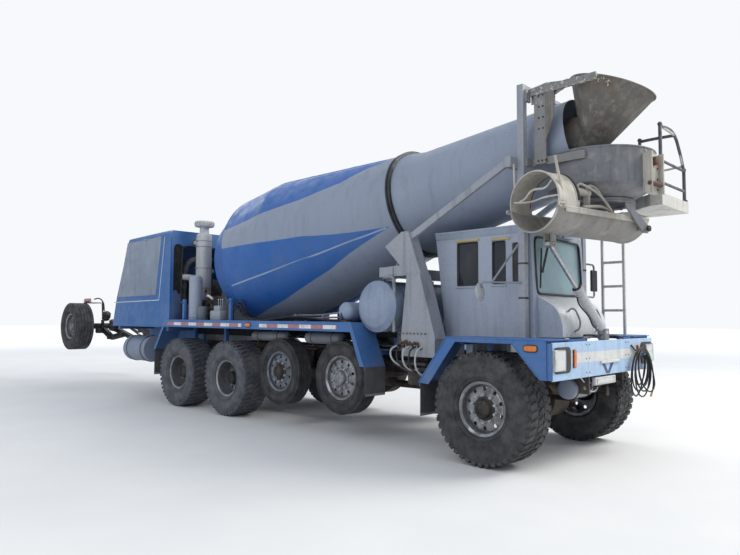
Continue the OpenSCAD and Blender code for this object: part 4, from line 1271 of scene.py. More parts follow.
@dataclass
class RoadWheel:
    """A tyre on its disc rim; lengths in metres, measured outwards from the tyre's middle."""

    name: str
    side: Side
    x: float
    z: float
    tyre_d: float
    tyre_w: float
    outer_y: float
    dish: float
    tread: Tread
    rubber: DustyRubber
    disc: Finish
    hub: Finish
    hand_holes: int = 10
    hole_r: float = 0.024
    rim_d: float = 0.572
    nuts: int = 10

    @property
    def body(self) -> str:
        """Body that the wheel turns with."""
        return f"wheel_{self.name}_{self.side.word}"

    @property
    def deep(self) -> bool:
        """Whether the disc lies deep inside the rim, as on the drive axles."""
        return self.dish >= 0.15

    def place(self) -> Matrix:
        """Frame at the tyre's middle, Z outwards."""
        sign = self.side.value
        return placed((self.x, sign * (self.outer_y - self.tyre_w / 2), self.z), (0, sign, 0), (1, 0, 0))

    def section(self) -> list[tuple[float, float]]:
        """Section of the tyre's carcass.

        Returns:
            The points as (radius, distance outwards).
        """
        r, w, bead = self.tyre_d / 2, self.tyre_w, self.rim_d / 2
        base = r - 0.016
        half = [(bead + 0.001, w * 0.395), (bead + 0.012, w * 0.440), (bead + 0.030, w * 0.468),
                (bead + 0.038, w * 0.462), ((bead + r) / 2 - 0.02, w * 0.493),
                ((bead + r) / 2 + 0.01, w * 0.497), ((bead + r) / 2 + 0.03, w * 0.490),
                (r - 0.070, w * 0.484), (r - 0.064, w * 0.474), (r - 0.036, w * 0.456),
                (base - 0.004, w * 0.425), (base, w * 0.385)]
        return half + [(base + 0.002, w * 0.2), (base + 0.003, 0.0), (base + 0.002, -w * 0.2)] + [(a, -b)
                for a, b in reversed(half)]

    def lug(self, piece: Workpiece, low: float, high: float, turn: float, width: float,
            slant: float) -> None:
        """Adds one tread block.

        Args:
            piece: The tyre.
            low: Its inner end along the tyre's axis.
            high: Its outer end.
            turn: Its angle round the tyre.
            width: Its width round the tyre.
            slant: How much its outer end is turned further.
        """
        r = self.tyre_d / 2
        middle = Matrix.Rotation(turn, 4, "Z") @ Matrix.Translation((r - 0.0135, 0,
                (low + high) / 2)) @ Matrix.Rotation(slant, 4, "X")
        size = Matrix.Diagonal((0.023, width, high - low, 1))
        verts = bmesh.ops.create_cube(piece.mesh, size=1, matrix=self.place() @ middle @ size)["verts"]
        piece.paint(verts)

    def treads(self, piece: Workpiece) -> None:
        """Adds the tread blocks.

        Args:
            piece: The tyre.
        """
        w, r = self.tyre_w, self.tyre_d / 2
        if self.tread is Tread.LUGS:
            count = 44
            for i in range(count):
                turn = math.tau * i / count
                half = math.tau / count / 2
                self.lug(piece, w * 0.14, w * 0.435, turn, 0.050, 0.30)
                self.lug(piece, -w * 0.435, -w * 0.14, turn + half, 0.050, -0.30)
                self.lug(piece, -w * 0.11, w * 0.11, turn + half / 2, 0.034, 0.55)
                for sign in (1, -1):
                    shoulder = Matrix.Rotation(turn + (0 if sign > 0 else half), 4,
                            "Z") @ Matrix.Translation((r - 0.030, 0, sign * w * 0.448))
                    size = Matrix.Diagonal((0.040, 0.046, 0.026, 1))
                    piece.paint(bmesh.ops.create_cube(piece.mesh, size=1,
                            matrix=self.place() @ shoulder @ Matrix.Rotation(sign * -0.32, 4,
                            "Y") @ size)["verts"])
        else:
            for low, high in ((0.27, 0.43), (0.10, 0.24), (-0.07, 0.07), (-0.24, -0.10), (-0.43, -0.27)):
                ring = [(r - 0.022, low * w), (r - 0.004, low * w), (r - 0.002, low * w + 0.004),
                        (r - 0.002, high * w - 0.004), (r - 0.004, high * w), (r - 0.022, high * w)]
                piece.lathe(ring, self.place(), 96, True)

    def tyre(self) -> None:
        """Builds the tyre with its tread and side ribs."""
        piece = Workpiece(f"road_tyre_{self.name}_{self.side.word}", self.rubber)
        piece.lathe(self.section(), self.place(), 96, True)
        self.treads(piece)
        middle = (self.rim_d / 2 + self.tyre_d / 2) / 2
        for radius, out in ((self.rim_d / 2 + 0.045, 0.480), (middle + 0.055, 0.485)):
            piece.torus(self.place() @ Matrix.Translation((0, 0, self.tyre_w * out)), radius, 0.003, 72, 6)
        piece.fit(self.body, "tyre_black", [f"tyre_{self.name}_{self.side.word}"])

    def rim(self) -> None:
        """Builds the rim: bead flanges, disc with hand holes, hub and nuts."""
        piece = Workpiece(f"disc_rim_{self.name}_{self.side.word}", self.disc)
        bead, edge = self.rim_d / 2 - 0.0005, self.tyre_w * 0.40
        well = bead - 0.022
        flange = [(well - 0.012, -edge), (bead - 0.003, -edge), (bead, -edge + 0.005),
                (bead, -edge + 0.03), (well, -edge + 0.055), (well, edge - 0.055), (bead, edge - 0.030),
                (bead, edge - 0.008), (bead - 0.002, edge - 0.002), (bead - 0.006, edge),
                (bead - 0.012, edge - 0.003), (well - 0.012, edge - 0.014), (well - 0.014, edge - 0.06),
                (well - 0.014, -edge + 0.05)]
        piece.lathe(flange, self.place(), 72, True)
        disc = edge - self.dish
        self.plate_with_holes(piece, disc, well - 0.008)
        piece.use(self.hub)
        nut_r = 0.150 if self.deep else 0.143
        self.hub_cover(piece, disc)
        for i in range(self.nuts):
            turn = math.tau * (i + 0.5) / self.nuts
            seat = self.place() @ Matrix.Rotation(turn, 4, "Z") @ Matrix.Translation((nut_r, 0, disc))
            self.nut(piece, seat)
        piece.fit(self.body, "rim_aluminium", [f"rim_{self.name}_{self.side.word}"])

    def plate_with_holes(self, piece: Workpiece, disc: float, outer: float) -> None:
        """Adds the disc: rings round a row of hand holes.

        Args:
            piece: The rim.
            disc: Height of its outside.
            outer: Its outer radius.
        """
        ring_r, steps = 0.205, self.hand_holes * 8
        rings = [0.118, 0.150, 0.172, ring_r - self.hole_r, ring_r + self.hole_r, outer - 0.02, outer]
        crown = [0.0, -0.002, -0.006, -0.004, -0.004, -0.010, -0.022]
        front = [(r, disc + c) for r, c in zip(rings, crown)]
        before = set(piece.mesh.faces)
        verts = piece.lathe(front, self.place(), steps)
        inverse = self.place().inverted()
        holes = []
        for face in [f for f in piece.mesh.faces if f not in before]:
            x, y, _ = inverse @ face.calc_center_median()
            turn = (math.atan2(y, x) * self.hand_holes / math.tau) % 1.0
            if abs(math.hypot(x, y) - ring_r) < self.hole_r * 0.8 and 0.25 < turn < 0.75:
                holes.append(face)
        for vert in {v for f in holes for v in f.verts}:
            local = inverse @ vert.co
            turn = math.atan2(local.y, local.x)
            index = math.floor(turn * self.hand_holes / math.tau)
            middle = (index + 0.5) * math.tau / self.hand_holes
            centre = Vector((ring_r * math.cos(middle), ring_r * math.sin(middle), local.z))
            away = Vector((local.x, local.y, local.z)) - centre
            if away.length > 1e-6:
                vert.co = self.place() @ (centre + away.normalized() * self.hole_r)
        bmesh.ops.delete(piece.mesh, geom=holes, context="FACES")
        faces = [f for f in piece.mesh.faces if f not in before]
        bmesh.ops.solidify(piece.mesh, geom=faces, thickness=0.012)
        piece.paint([v for v in verts if v.is_valid])

    def hub_cover(self, piece: Workpiece, disc: float) -> None:
        """Adds the hub, its cap and the cap's screws.

        Args:
            piece: The rim.
            disc: Height of the disc's outside.
        """
        top = 0.105 if self.deep else 0.055
        profile = [(0.122, disc - 0.05), (0.122, disc + 0.008), (0.116, disc + 0.014),
                (0.100, disc + 0.016), (0.092, disc + top - 0.012), (0.086, disc + top),
                (0.060, disc + top + 0.004), (0.056, disc + top - 0.004), (0.0, disc + top - 0.004)]
        piece.lathe(profile, self.place(), 40)
        for i in range(8):
            turn = math.tau * i / 8
            base = self.place() @ Vector((0.073 * math.cos(turn), 0.073 * math.sin(turn), disc + top))
            piece.rod(base, base + Vector((0, self.side.value * 0.010, 0)), 0.008, 6)

    def nut(self, piece: Workpiece, seat: Matrix) -> None:
        """Adds a wheel nut on its stud.

        Args:
            piece: The rim.
            seat: Frame of its seat, Z outwards.
        """
        out = seat.to_3x3() @ Vector((0, 0, 1))
        base = seat.translation
        piece.use(PLATED)
        piece.rod(base, base + out * 0.008, 0.021, 12, 0.019)
        piece.rod(base + out * 0.008, base + out * 0.034, 0.0165, 6, soft=0.001)
        piece.rod(base + out * 0.034, base + out * 0.046, 0.009, 8)
        piece.use(self.hub)

    def build(self) -> None:
        """Builds the tyre and the rim."""
        self.tyre()
        self.rim()


def road_wheels() -> list[RoadWheel]:
    """Lists the twelve wheels.

    Returns:
        The wheels of both sides.
    """
    wheels = []
    for side in Side:
        wheels += [
            RoadWheel("front", side, 5.040, 0.5865, 1.173, 0.440, 1.240, 0.060, Tread.LUGS, TYRE_RUBBER,
                RIM_ALLOY, HUB_BLACK),
            RoadWheel("pusher1", side, 2.855, 0.745, 0.930, 0.255, 1.155, 0.030, Tread.RIBS, CLEAN_RUBBER,
                RIM_ALLOY, RIM_ALLOY),
            RoadWheel("pusher2", side, 1.589, 0.745, 0.930, 0.255, 1.155, 0.030, Tread.RIBS, CLEAN_RUBBER,
                RIM_DARK, HUB_BLACK),
            RoadWheel("drive1", side, 0.362, 0.570, 1.140, 0.440, 1.240, 0.190, Tread.LUGS, GREY_RUBBER,
                RIM_ALLOY, HUB_BLACK),
            RoadWheel("drive2", side, -1.101, 0.570, 1.140, 0.440, 1.240, 0.190, Tread.LUGS, GREY_RUBBER,
                RIM_ALLOY, HUB_BLACK),
            RoadWheel("booster", side, -5.884, 1.276, 1.040, 0.385, 1.240, 0.070, Tread.RIBS, TYRE_RUBBER,
                RIM_ALLOY, RIM_ALLOY),
        ]
    return wheels


@dataclass
class Hood:
    """Engine hood: its panels, louvres and what stands in its front opening."""

    half: float = 1.2
    front: float = -1.43
    slope_foot: Point = (-3.546, 0, 1.871)
    slope: Point = (0.396, 0, 0.918)
    duct: tuple[float, float] = (-0.715, 2.83)

    def panels(self) -> None:
        """Makes the grey side panels with their pale line, latches and rivets."""
        trim = Workpiece("hood_panels", PANEL_GREY)
        y = self.half
        corners = ((-3.49, 1.878), (-3.12, 2.915), (-1.775, 2.94), (-1.942, 1.892))
        trim.plate([(x, y, z) for x, z in corners], (0, 0.004, 0), 0.0015)
        trim.use(STRIPE_PAINT)
        for start, end in (((-1.66, 2.93), (-1.827, 1.8)), ((-1.827, 1.8), (-3.668, 1.776))):
            trim.bar((start[0], y, start[1]), (end[0], y, end[1]), 0.003, 0.014, 0)
        trim.use(HOOD_BLUE)
        trim.bar((-3.6, y - 0.006, 1.345), (-1.45, y - 0.006, 1.345), 0.02, 0.045, 0.006)
        trim.bar((-1.445, y - 0.006, 1.34), (-1.445, y - 0.006, 2.9), 0.02, 0.03, 0.006)
        trim.rivets(row((-3.55, y + 0.004, 1.345), (0.115, 0, 0), 18), (0, 1, 0), 0.008)
        trim.rivets(row((-1.445, y + 0.004, 1.45), (0, 0, 0.16), 9), (0, 1, 0), 0.008)
        for a, b in zip(corners, corners[1:] + corners[:1]):
            trim.rivets([(a[0] + (b[0] - a[0]) * t / 11, y + 0.004, a[1] + (b[1] - a[1]) * t / 11)
                    for t in range(11)], (0, 1, 0), 0.007)
        for x in (-3.0, -2.45, -1.9):
            trim.use(PANEL_GREY).rod((x, y + 0.006, 2.925), (x + 0.16, y + 0.006, 2.925), 0.011, 10)
        trim.mirror()
        trim.fit("truck", "blue")

    def louvres(self) -> None:
        """Makes the radiator's louvred panel on the sloping rear."""
        place = placed(self.slope_foot, self.slope, (0, 1, 0))
        panel = Workpiece("rear_louvres", HOOD_BLUE)
        panel.use(CHASSIS_IRON).box((-0.84, 0.001, 0.1), (0.84, 0.006, 0.94), 0, place)
        panel.use(HOOD_BLUE)
        for x in (-0.86, 0.84):
            panel.box((x, 0, 0.08), (x + 0.03, 0.028, 0.96), 0.006, place)
        for z in (0.07, 0.94):
            panel.box((-0.86, 0, z), (0.87, 0.028, z + 0.03), 0.006, place)
        for i in range(17):
            slat = place @ Matrix.Translation((0, 0.014, 0.135 + 0.05
                    * i)) @ Matrix.Rotation(math.radians(38), 4, "X")
            panel.box((-0.845, -0.016, -0.003), (0.845, 0.02, 0.003), 0.0015, slat, 1)
        panel.box((-0.012, 0.0, 0.1), (0.012, 0.03, 0.94), 0.004, place)
        panel.fit("truck", "blue")

    def engine_room(self) -> None:
        """Makes the pipes that show in the front opening and the low dark panel under it."""
        room = Workpiece("engine_room", ENGINE_IRON)
        for s in (-1, 1):
            dark = rounded_loop(0.97, 1.145, 1.9, 2.79, 0.08)
            room.use(SHADE).plate([(self.front + 0.0005, s * y, z) for y, z in dark], (0.002, 0, 0),
                    0.0004, 1)
            room.use(DEEP_BLUE)
            outline = ((0.6, 1.34), (1.13, 1.34), (1.13, 1.97), (1.085, 1.969), (0.93, 1.725), (0.6, 1.7))
            room.plate([(self.front + 0.001, s * y, z) for y, z in outline], (0.008, 0, 0), 0.002)
            room.rivets(row((self.front + 0.009, s * 1.11, 1.42), (0, 0, 0.13), 5), (1, 0, 0), 0.008)
        loop = rounded_loop(-0.98, 0.98, 1.33, 2.76, 0.09)
        room.use(BLACK_TRIM).pipe([(self.front, u, v) for u, v in loop], 0.014, 3, 2)
        room.use(GREY_RUBBER)
        for i in range(15):
            x = -1.64 + 0.016 * i
            room.torus(lengthwise((x, *self.duct)), 0.062, 0.009, 24, 6)
        room.use(PLATED)
        for x in (-1.42, -1.36):
            room.torus(lengthwise((x, *self.duct)), 0.063, 0.006, 24, 6)
        room.use(GREY_RUBBER).pipe([(-1.56, -0.86, 1.4), (-1.56, -0.86, 2.1), (-1.57, -0.8, 2.45),
                (-1.62, -0.55, 2.58), (-1.75, -0.2, 2.6)], 0.05, 8, 4)
        room.use(CREAM_PAINT).pipe([(-1.5, -1.02, 2.2), (-1.46, -0.9, 2.21), (-1.44, -0.75, 2.2),
                (-1.42, -0.62, 2.16)], 0.055, 8, 4)
        room.use(GREY_RUBBER).pipe([(-1.54, -0.62, 1.45), (-1.52, -0.6, 2.0), (-1.55, -0.42, 2.3),
                (-1.7, -0.2, 2.36)], 0.045, 8, 3)
        room.use(HOSE_BLACK).pipe([(-1.5, 0.7, 1.4), (-1.5, 0.74, 2.05), (-1.56, 0.5, 2.4),
                (-1.8, 0.3, 2.45)], 0.03, 8, 3)
        room.use(ENGINE_IRON)
        room.rod((-1.62, -0.45, 1.75), (-1.5, -0.45, 1.75), 0.13, 24, soft=0.01)
        room.rod((-1.62, 0.42, 1.95), (-1.5, 0.42, 1.95), 0.1, 24, soft=0.01)
        room.box((-1.66, -0.3, 1.9), (-1.53, 0.3, 2.2), 0.03)
        room.fit("truck", "engine_iron")

    def build(self) -> None:
        """Makes all the parts of the hood."""
        self.panels()
        self.louvres()
        self.engine_room()


@dataclass
class SideDecks:
    """Side rails over the wheels, with their tape, lamps, posts and what lies on and under them."""

    half: float = 1.23
    top: float = 1.449
    rear: float = -1.539
    front: float = 3.145
    tank_y: float = -1.0
    tower_foot: Point = (-1.15, -0.715, 1.8)

    def rails(self) -> None:
        """Makes the marker tape, the rolled lip and the small posts."""
        rail = Workpiece("rail_trim", SIDE_TAPE)
        y = self.half
        for start, end in ((-1.448, 0.80), (1.245, 2.895)):
            rail.box((start, y, 1.362), (end, y + 0.0015, 1.412), 0)
        rail.use(HOOD_BLUE).pipe([(self.rear, y - 0.006, self.top), (0, y - 0.006, self.top),
                (self.front, y - 0.006, self.top)], 0.007, 4, 2)
        rail.rivets(row((-1.4, y, 1.345), (0.3, 0, 0), 15), (0, 1, 0), 0.007)
        rail.use(SHADE).box((self.rear + 0.1, 0.66, 1.2), (self.front - 0.15, 0.668, self.top - 0.008), 0)
        rail.use(HOOD_BLUE)
        for x in (-1.02, 0.387):
            rail.box((x - 0.03, y - 0.11, self.top), (x + 0.03, y - 0.06, self.top + 0.35), 0.008)
            rail.box((x - 0.05, y - 0.13, self.top), (x + 0.05, y - 0.04, self.top + 0.012), 0.003)
            rail.rod((x, y - 0.085, self.top + 0.3), (x, y - 0.02, self.top + 0.3), 0.012, 10)
        for x0, z0, x1, z1 in ((3.2, 1.31, 3.44, 0.96), (-1.60, 1.31, -1.82, 0.98)):
            rail.rivets([(x0 + (x1 - x0) * i / 4, y, z0 + (z1 - z0) * i / 4) for i in range(5)], (0, 1, 0),
                    0.008)
        rail.mirror()
        rail.fit("truck", "blue")

    def air_tanks(self) -> None:
        """Makes the air tanks that hang under the rail, with their straps."""
        tank = Workpiece("air_tanks", CHASSIS_IRON)
        for x0, x1, z, r in ((0.8, 1.64, 1.235, 0.072), (2.05, 2.78, 1.235, 0.082)):
            place = lengthwise((x0, self.tank_y, z))
            span = x1 - x0
            profile = [(0, 0), (r * 0.55, 0.008), (r * 0.9, 0.03), (r, 0.06), (r, span - 0.06),
                    (r * 0.9, span - 0.03), (r * 0.55, span - 0.008), (0, span)]
            tank.use(DULL_TANK).lathe(profile, place, 32)
            for t in (0.22, 0.78):
                x = x0 + t * span
                tank.use(CHASSIS_IRON).torus(lengthwise((x, self.tank_y, z)), r + 0.002, 0.006, 32, 6)
                tank.box((x - 0.02, -1.012, z + r - 0.004), (x + 0.02, -0.988, 1.4405), 0.003)
            tank.use(CHASSIS_IRON).rod((x0 + 0.12, -1.0, z - r - 0.03), (x0 + 0.12, -1.0, z - r + 0.01),
                    0.01, 8)
            tank.use(HOSE_BLACK).pipe([(x1, -1.0, z), (x1 + 0.08, -0.99, z - 0.02),
                    (x1 + 0.16, -0.9, z + 0.02), (x1 + 0.2, -0.7, z - 0.05), (x1 + 0.2, -0.45, z - 0.12)],
                    0.009, 6, 2)
        tank.fit("truck", "chassis")

    def cleaner(self) -> None:
        """Makes the air cleaner with its cap and bands, the domed canister and the pump beside it."""
        tower = Workpiece("air_cleaner", PIPE_WHITE)
        x, y, foot = self.tower_foot
        place = upright(self.tower_foot)
        tower.lathe([(0, 0), (0.1, 0), (0.125, 0.01), (0.134, 0.03), (0.134, 1.12), (0.128, 1.15),
                (0.1, 1.175), (0.083, 1.19), (0.08, 1.27), (0.085, 1.285), (0.16, 1.3), (0.17, 1.315),
                (0.17, 1.375), (0.162, 1.392), (0.06, 1.4), (0, 1.4)], place, 56)
        tower.use(RAIL_METAL)
        for z in (0.2, 0.56, 0.94, 1.04):
            tower.torus(upright((x, y, foot + z)), 0.134, 0.006, 48, 6)
            tower.rod((x - 0.05, y - 0.14, foot + z), (x + 0.02, y - 0.145, foot + z), 0.009, 8)
        for i in range(24):
            turn = place @ Matrix.Rotation(math.tau * i / 24, 4, "Z")
            tower.box((-0.004, 0.168, 1.322), (0.004, 0.173, 1.37), 0, turn)
        tower.use(PIPE_WHITE).box((-1.43, -0.775, 2.8), (-1.15, -0.655, 2.86), 0.01)
        tower.use(CAB_PAINT)
        can = upright((-0.915, -1.0, 1.4495))
        tower.lathe([(0, 0), (0.1, 0), (0.11, 0.01), (0.11, 0.69), (0.107, 0.705), (0.092, 0.74),
                (0.055, 0.762), (0, 0.7715)], can, 48)
        tower.torus(can @ Matrix.Translation((0, 0, 0.05)), 0.112, 0.008, 40, 6)
        tower.torus(can @ Matrix.Translation((0, 0, 0.66)), 0.110, 0.004, 40, 6)
        tower.use(DULL_TANK).lathe([(0, 0), (0.08, 0), (0.085, 0.008), (0.085, 0.21), (0.07, 0.229),
                (0, 0.23)], upright((-0.65, -1.01, 1.4495)), 36)
        tower.use(CHASSIS_IRON)
        for x, y, z, r in ((-0.72, -0.8, 1.6, 0.1), (-0.5, -0.78, 1.56, 0.07)):
            tower.rod((x, y, z), (x + 0.16, y, z), r, 24, soft=0.012)
            tower.rod((x + 0.16, y, z), (x + 0.2, y, z), r * 0.5, 12)
        tower.box((-0.78, -0.9, 1.4495), (-0.34, -0.7, 1.5), 0.01)
        tower.use(RUST_PIPE).pipe([(-0.95, -0.78, 1.95), (-0.8, -0.84, 1.98), (-0.7, -0.86, 1.85),
                (-0.64, -0.84, 1.68)], 0.024, 8, 3)
        tower.use(HOSE_BLACK)
        for k in range(4):
            tower.pipe([(-0.9 + 0.05 * k, -0.86, 1.46), (-0.84 + 0.05 * k, -0.88, 1.66 + 0.05 * k),
                    (-0.6, -0.86, 1.74 + 0.03 * k), (-0.4, -0.82, 1.6), (-0.3, -0.8 - 0.02 * k, 1.46)],
                    0.013, 8, 2)
        tower.use(CREAM_PAINT).pipe([(-0.56, -0.98, 1.86), (-0.46, -1.0, 1.84), (-0.4, -0.98, 1.8)], 0.02,
                6, 3)
        tower.fit("truck", "grey_paint", ["canisters"])

    def deck_lines(self) -> None:
        """Makes the pipes, hoses and valves that lie on the right deck."""
        lines = Workpiece("deck_lines", POST_PAINT)
        z = self.top
        lines.box((-0.36, -1.06, z), (-0.06, -0.84, z + 0.16), 0.02)
        lines.box((-0.3, -1.03, z + 0.15), (-0.12, -0.87, z + 0.24), 0.015)
        lines.use(CHASSIS_IRON).rod((0.08, -0.96, z), (0.08, -0.96, z + 0.27), 0.062, 24, soft=0.012)
        lines.rod((0.08, -0.96, z + 0.27), (0.08, -0.96, z + 0.31), 0.035, 16)
        lines.use(PLATED)
        for x in (-0.27, -0.21, -0.15):
            lines.rod((x, -0.95, z + 0.24), (x, -0.95, z + 0.33), 0.008, 8)
            lines.ball((x, -0.95, z + 0.34), 0.015)
        lines.use(HOSE_BLACK)
        for k, y in enumerate((-0.9, -0.94, -0.98)):
            lines.pipe([(0.14, y, z + 0.2 - 0.03 * k), (0.3, y, z + 0.3 - 0.05 * k),
                    (0.5, y - 0.02, z + 0.08), (0.9, y, z + 0.02), (1.7, y + 0.02, z + 0.03 + 0.02 * k),
                    (2.5, y, z + 0.025), (3.0, y + 0.1, z + 0.02)], 0.014, 8, 2)
            lines.pipe([(-0.36, y, z + 0.1), (-0.45, y, z + 0.12), (-0.56, y - 0.01, z + 0.09)], 0.013, 6,
                    2)
        lines.use(RAIL_METAL)
        for y, h in ((-0.82, 0.05), (-0.78, 0.09)):
            lines.pipe([(1.5, y, z + h), (2.0, y, z + h), (2.65, y, z + h), (2.72, y, z + 0.02)], 0.012, 4,
                    2)
        for x in (1.6, 2.2, 2.6):
            lines.box((x - 0.015, -0.86, z), (x + 0.015, -0.74, z + 0.105), 0.004)
        lines.fit("truck", "chassis")

    def flaps(self) -> None:
        """Makes the mudflaps' bolts and the weights at their feet."""
        flap = Workpiece("flap_trim", CHASSIS_IRON)
        for x, top, high in ((3.367, 0.918, 0.36), (-1.924, 0.926, 0.45), (4.232, 0.8, 0.37)):
            flap.use(PLATED).rivets(row((x - 0.001, 0.9, top - 0.025), (0, 0.075, 0), 5), (-1, 0, 0), 0.009)
            flap.use(RAIL_METAL).box((x + 0.0155, 0.87, top - high + 0.006),
                    (x + 0.019, 1.2, top - high + 0.03), 0.001)
        flap.mirror()
        flap.fit("truck", "flap_rubber")

    def build(self) -> None:
        """Makes all that goes with the side decks."""
        self.rails()
        self.air_tanks()
        self.cleaner()
        self.deck_lines()
        self.flaps()


@dataclass
class Bumper:
    """Front bumper with its painted face, stripe, recesses, and the front fenders' trim."""

    face: float = 5.848
    half: float = 1.215
    low: float = 0.93
    top: float = 1.278

    def panel(self) -> None:
        """Makes the face plates, their blue made pale as painted sunlight, with the cream stripe, seams and
        bolts.
        """
        plate = Workpiece("bumper_face", LIT_BUMPER_BLUE)
        x, skin = self.face, 0.005
        for y0, y1 in ((-self.half, -0.485), (-0.48, 0.48), (0.485, self.half)):
            for z0, z1, paint in ((self.low + 0.002, 1.074, LIT_BUMPER_BLUE), (1.074, 1.176, STRIPE_PAINT),
                    (1.176, self.top, LIT_BUMPER_BLUE)):
                plate.use(paint).box((x, y0, z0), (x + skin, y1, z1), 0)
        plate.use(HOOD_BLUE)
        for s in (-1, 1):
            plate.box((5.765, s * self.half - 0.003, self.low), (x + 0.004, s * self.half + 0.003,
                    self.top), 0.002)
            plate.rivets(row((x + skin, s * 0.45, 0.97), (0, 0, 0.14), 3)
                    + row((x + skin, s * 0.52, 0.97), (0, 0, 0.14), 3), (1, 0, 0), 0.009)
            plate.rivets(row((5.79, s * (self.half + 0.003), 0.96), (0, 0, 0.09), 4), (0, s, 0), 0.008)
        plate.use(LIT_BUMPER_BLUE).pipe([(x - 0.002, -self.half, self.top), (x - 0.002, 0, self.top),
                (x - 0.002, self.half, self.top)], 0.008, 3, 2)
        plate.pipe([(x - 0.002, -self.half, self.low), (x - 0.002, 0, self.low),
                (x - 0.002, self.half, self.low)], 0.008, 3, 2)
        plate.use(DEEP_BLUE)
        notch = ((-0.17, 1.05), (-0.1, 1.05), (-0.02, 0.955), (0.06, 1.05), (0.13, 1.05), (0.02, 0.935),
                (-0.06, 0.935))
        plate.plate([(x + skin, y, z) for y, z in notch], (0.002, 0, 0), 0)
        plate.use(STRIPE_PAINT).box((x + skin, -0.21, 1.045), (x + skin + 0.02, 0.25, 1.075), 0.005)
        plate.fit("truck", "light_blue")

    def low_bar(self) -> None:
        """Makes the white lamp bar and the bracket under the bumper."""
        bar = Workpiece("low_lamp_bar", STRIPE_PAINT)
        bar.box((5.80, -0.30, 0.82), (5.845, 0.2, 0.905), 0.012)
        bar.use(CHASSIS_IRON)
        for y in (-0.22, 0.12):
            bar.box((5.79, y - 0.015, 0.86), (5.8, y + 0.015, 0.95), 0.002)
        bar.use(LAMP_CLEAR).box((5.845, -0.27, 0.835), (5.852, 0.17, 0.89), 0.006, segments=3)
        bar.fit("truck", "light_blue")

    def fenders(self) -> None:
        """Makes the rolled edge and bolts of the front fenders."""
        edge = Workpiece("fender_edges", HOOD_BLUE)
        y = 1.232
        edge.pipe([(4.238, y, 0.802), (4.43, y, 1.055), (4.622, y, 1.31)], 0.007, 3, 2)
        edge.pipe([(4.622, y, 1.31), (5.2, y, 1.31), (5.79, y, 1.31)], 0.007, 3, 2)
        edge.pipe([(5.727, y, 0.934), (5.57, y, 1.104), (5.417, y, 1.268), (5.1, y, 1.268),
                (4.734, y, 1.268), (4.552, y, 1.03), (4.375, y, 0.795)], 0.006, 1, 2)
        edge.rivets(row((4.8, y + 0.001, 1.29), (0.16, 0, 0), 6), (0, 1, 0), 0.007)
        edge.rivets(row((5.775, y + 0.001, 0.97), (0, 0, 0.085), 4), (0, 1, 0), 0.007)
        edge.mirror()
        edge.fit("truck", "blue")

    def build(self) -> None:
        """Makes the bumper's parts."""
        self.panel()
        self.low_bar()
        self.fenders()


@dataclass
class Lamps:
    """Lamps of the truck: lenses in their housings, where the frame's plain blocks stand."""

    face: float = 5.853
    head_y: float = 1.1
    marker_y: float = 0.785
    side_y: float = 1.2295

    def head(self, piece: Workpiece, s: int) -> None:
        """Makes a headlamp with its dark recess and the marker beside it.

        Args:
            piece: The lamps.
            s: Sign of its side.
        """
        x = self.face
        loop = rounded_loop(0.865, 1.2, 0.99, 1.24, 0.05)
        piece.use(BLACK_TRIM).plate([(x, s * y, z) for y, z in loop], (0.008, 0, 0), 0.002)
        piece.use(PLATED).box((x + 0.006, s * self.head_y - 0.112, 1.01),
                (x + 0.014, s * self.head_y + 0.112, 1.22), 0.01, segments=3)
        piece.use(LAMP_CLEAR).box((x + 0.012, s * self.head_y - 0.104, 1.018),
                (x + 0.022, s * self.head_y + 0.104, 1.212), 0.012, segments=3)
        piece.use(BLACK_TRIM).box((x, s * self.marker_y - 0.03, 1.03),
                (x + 0.008, s * self.marker_y + 0.03, 1.21), 0.004)
        piece.use(LAMP_AMBER).box((x + 0.005, s * self.marker_y - 0.024, 1.035),
                (x + 0.02, s * self.marker_y + 0.024, 1.205), 0.008, segments=3)

    def oval(self, piece: Workpiece, x: float, y: float, z: float, span: float, finish: Finish) -> None:
        """Makes an oval side lamp in a rubber ring.

        Args:
            piece: The lamps.
            x: Its middle along the truck.
            y: The surface it sits on.
            z: Its height.
            span: Its length.
            finish: Finish of its lens.
        """
        s = math.copysign(1, y)
        for grow, depth, paint in ((0.012, 0.006, BLACK_TRIM), (0.0, 0.011, finish)):
            loop = rounded_loop(x - span / 2 - grow, x + span / 2 + grow, z - 0.026 - grow, z + 0.026
                    + grow, 0.024 + grow)
            piece.use(paint).plate([(u, y, v) for u, v in loop], (0, s * depth, 0), 0.002)

    def build(self) -> None:
        """Makes every lamp and hides the plain blocks."""
        lamps = Workpiece("lamps_dressed", BLACK_TRIM)
        for s in (-1, 1):
            self.head(lamps, s)
            self.oval(lamps, 5.63, s * self.side_y, 1.225, 0.14, LAMP_AMBER)
            self.oval(lamps, 0.965, s * self.side_y, 1.392, 0.13, LAMP_AMBER)
            tail = placed((-3.712, s * 1.16, 1.362), (-0.27, 0, 0.963), (0, 1, 0))
            lamps.use(BLACK_TRIM).box((-0.034, -0.012, -0.036), (0.034, 0.004, 0.036), 0.004, tail)
            lamps.use(LAMP_RED).box((-0.027, 0.002, -0.029), (0.027, 0.014, 0.029), 0.008, tail, 3)
        lamps.fit("truck", "lens", ["lamps"])


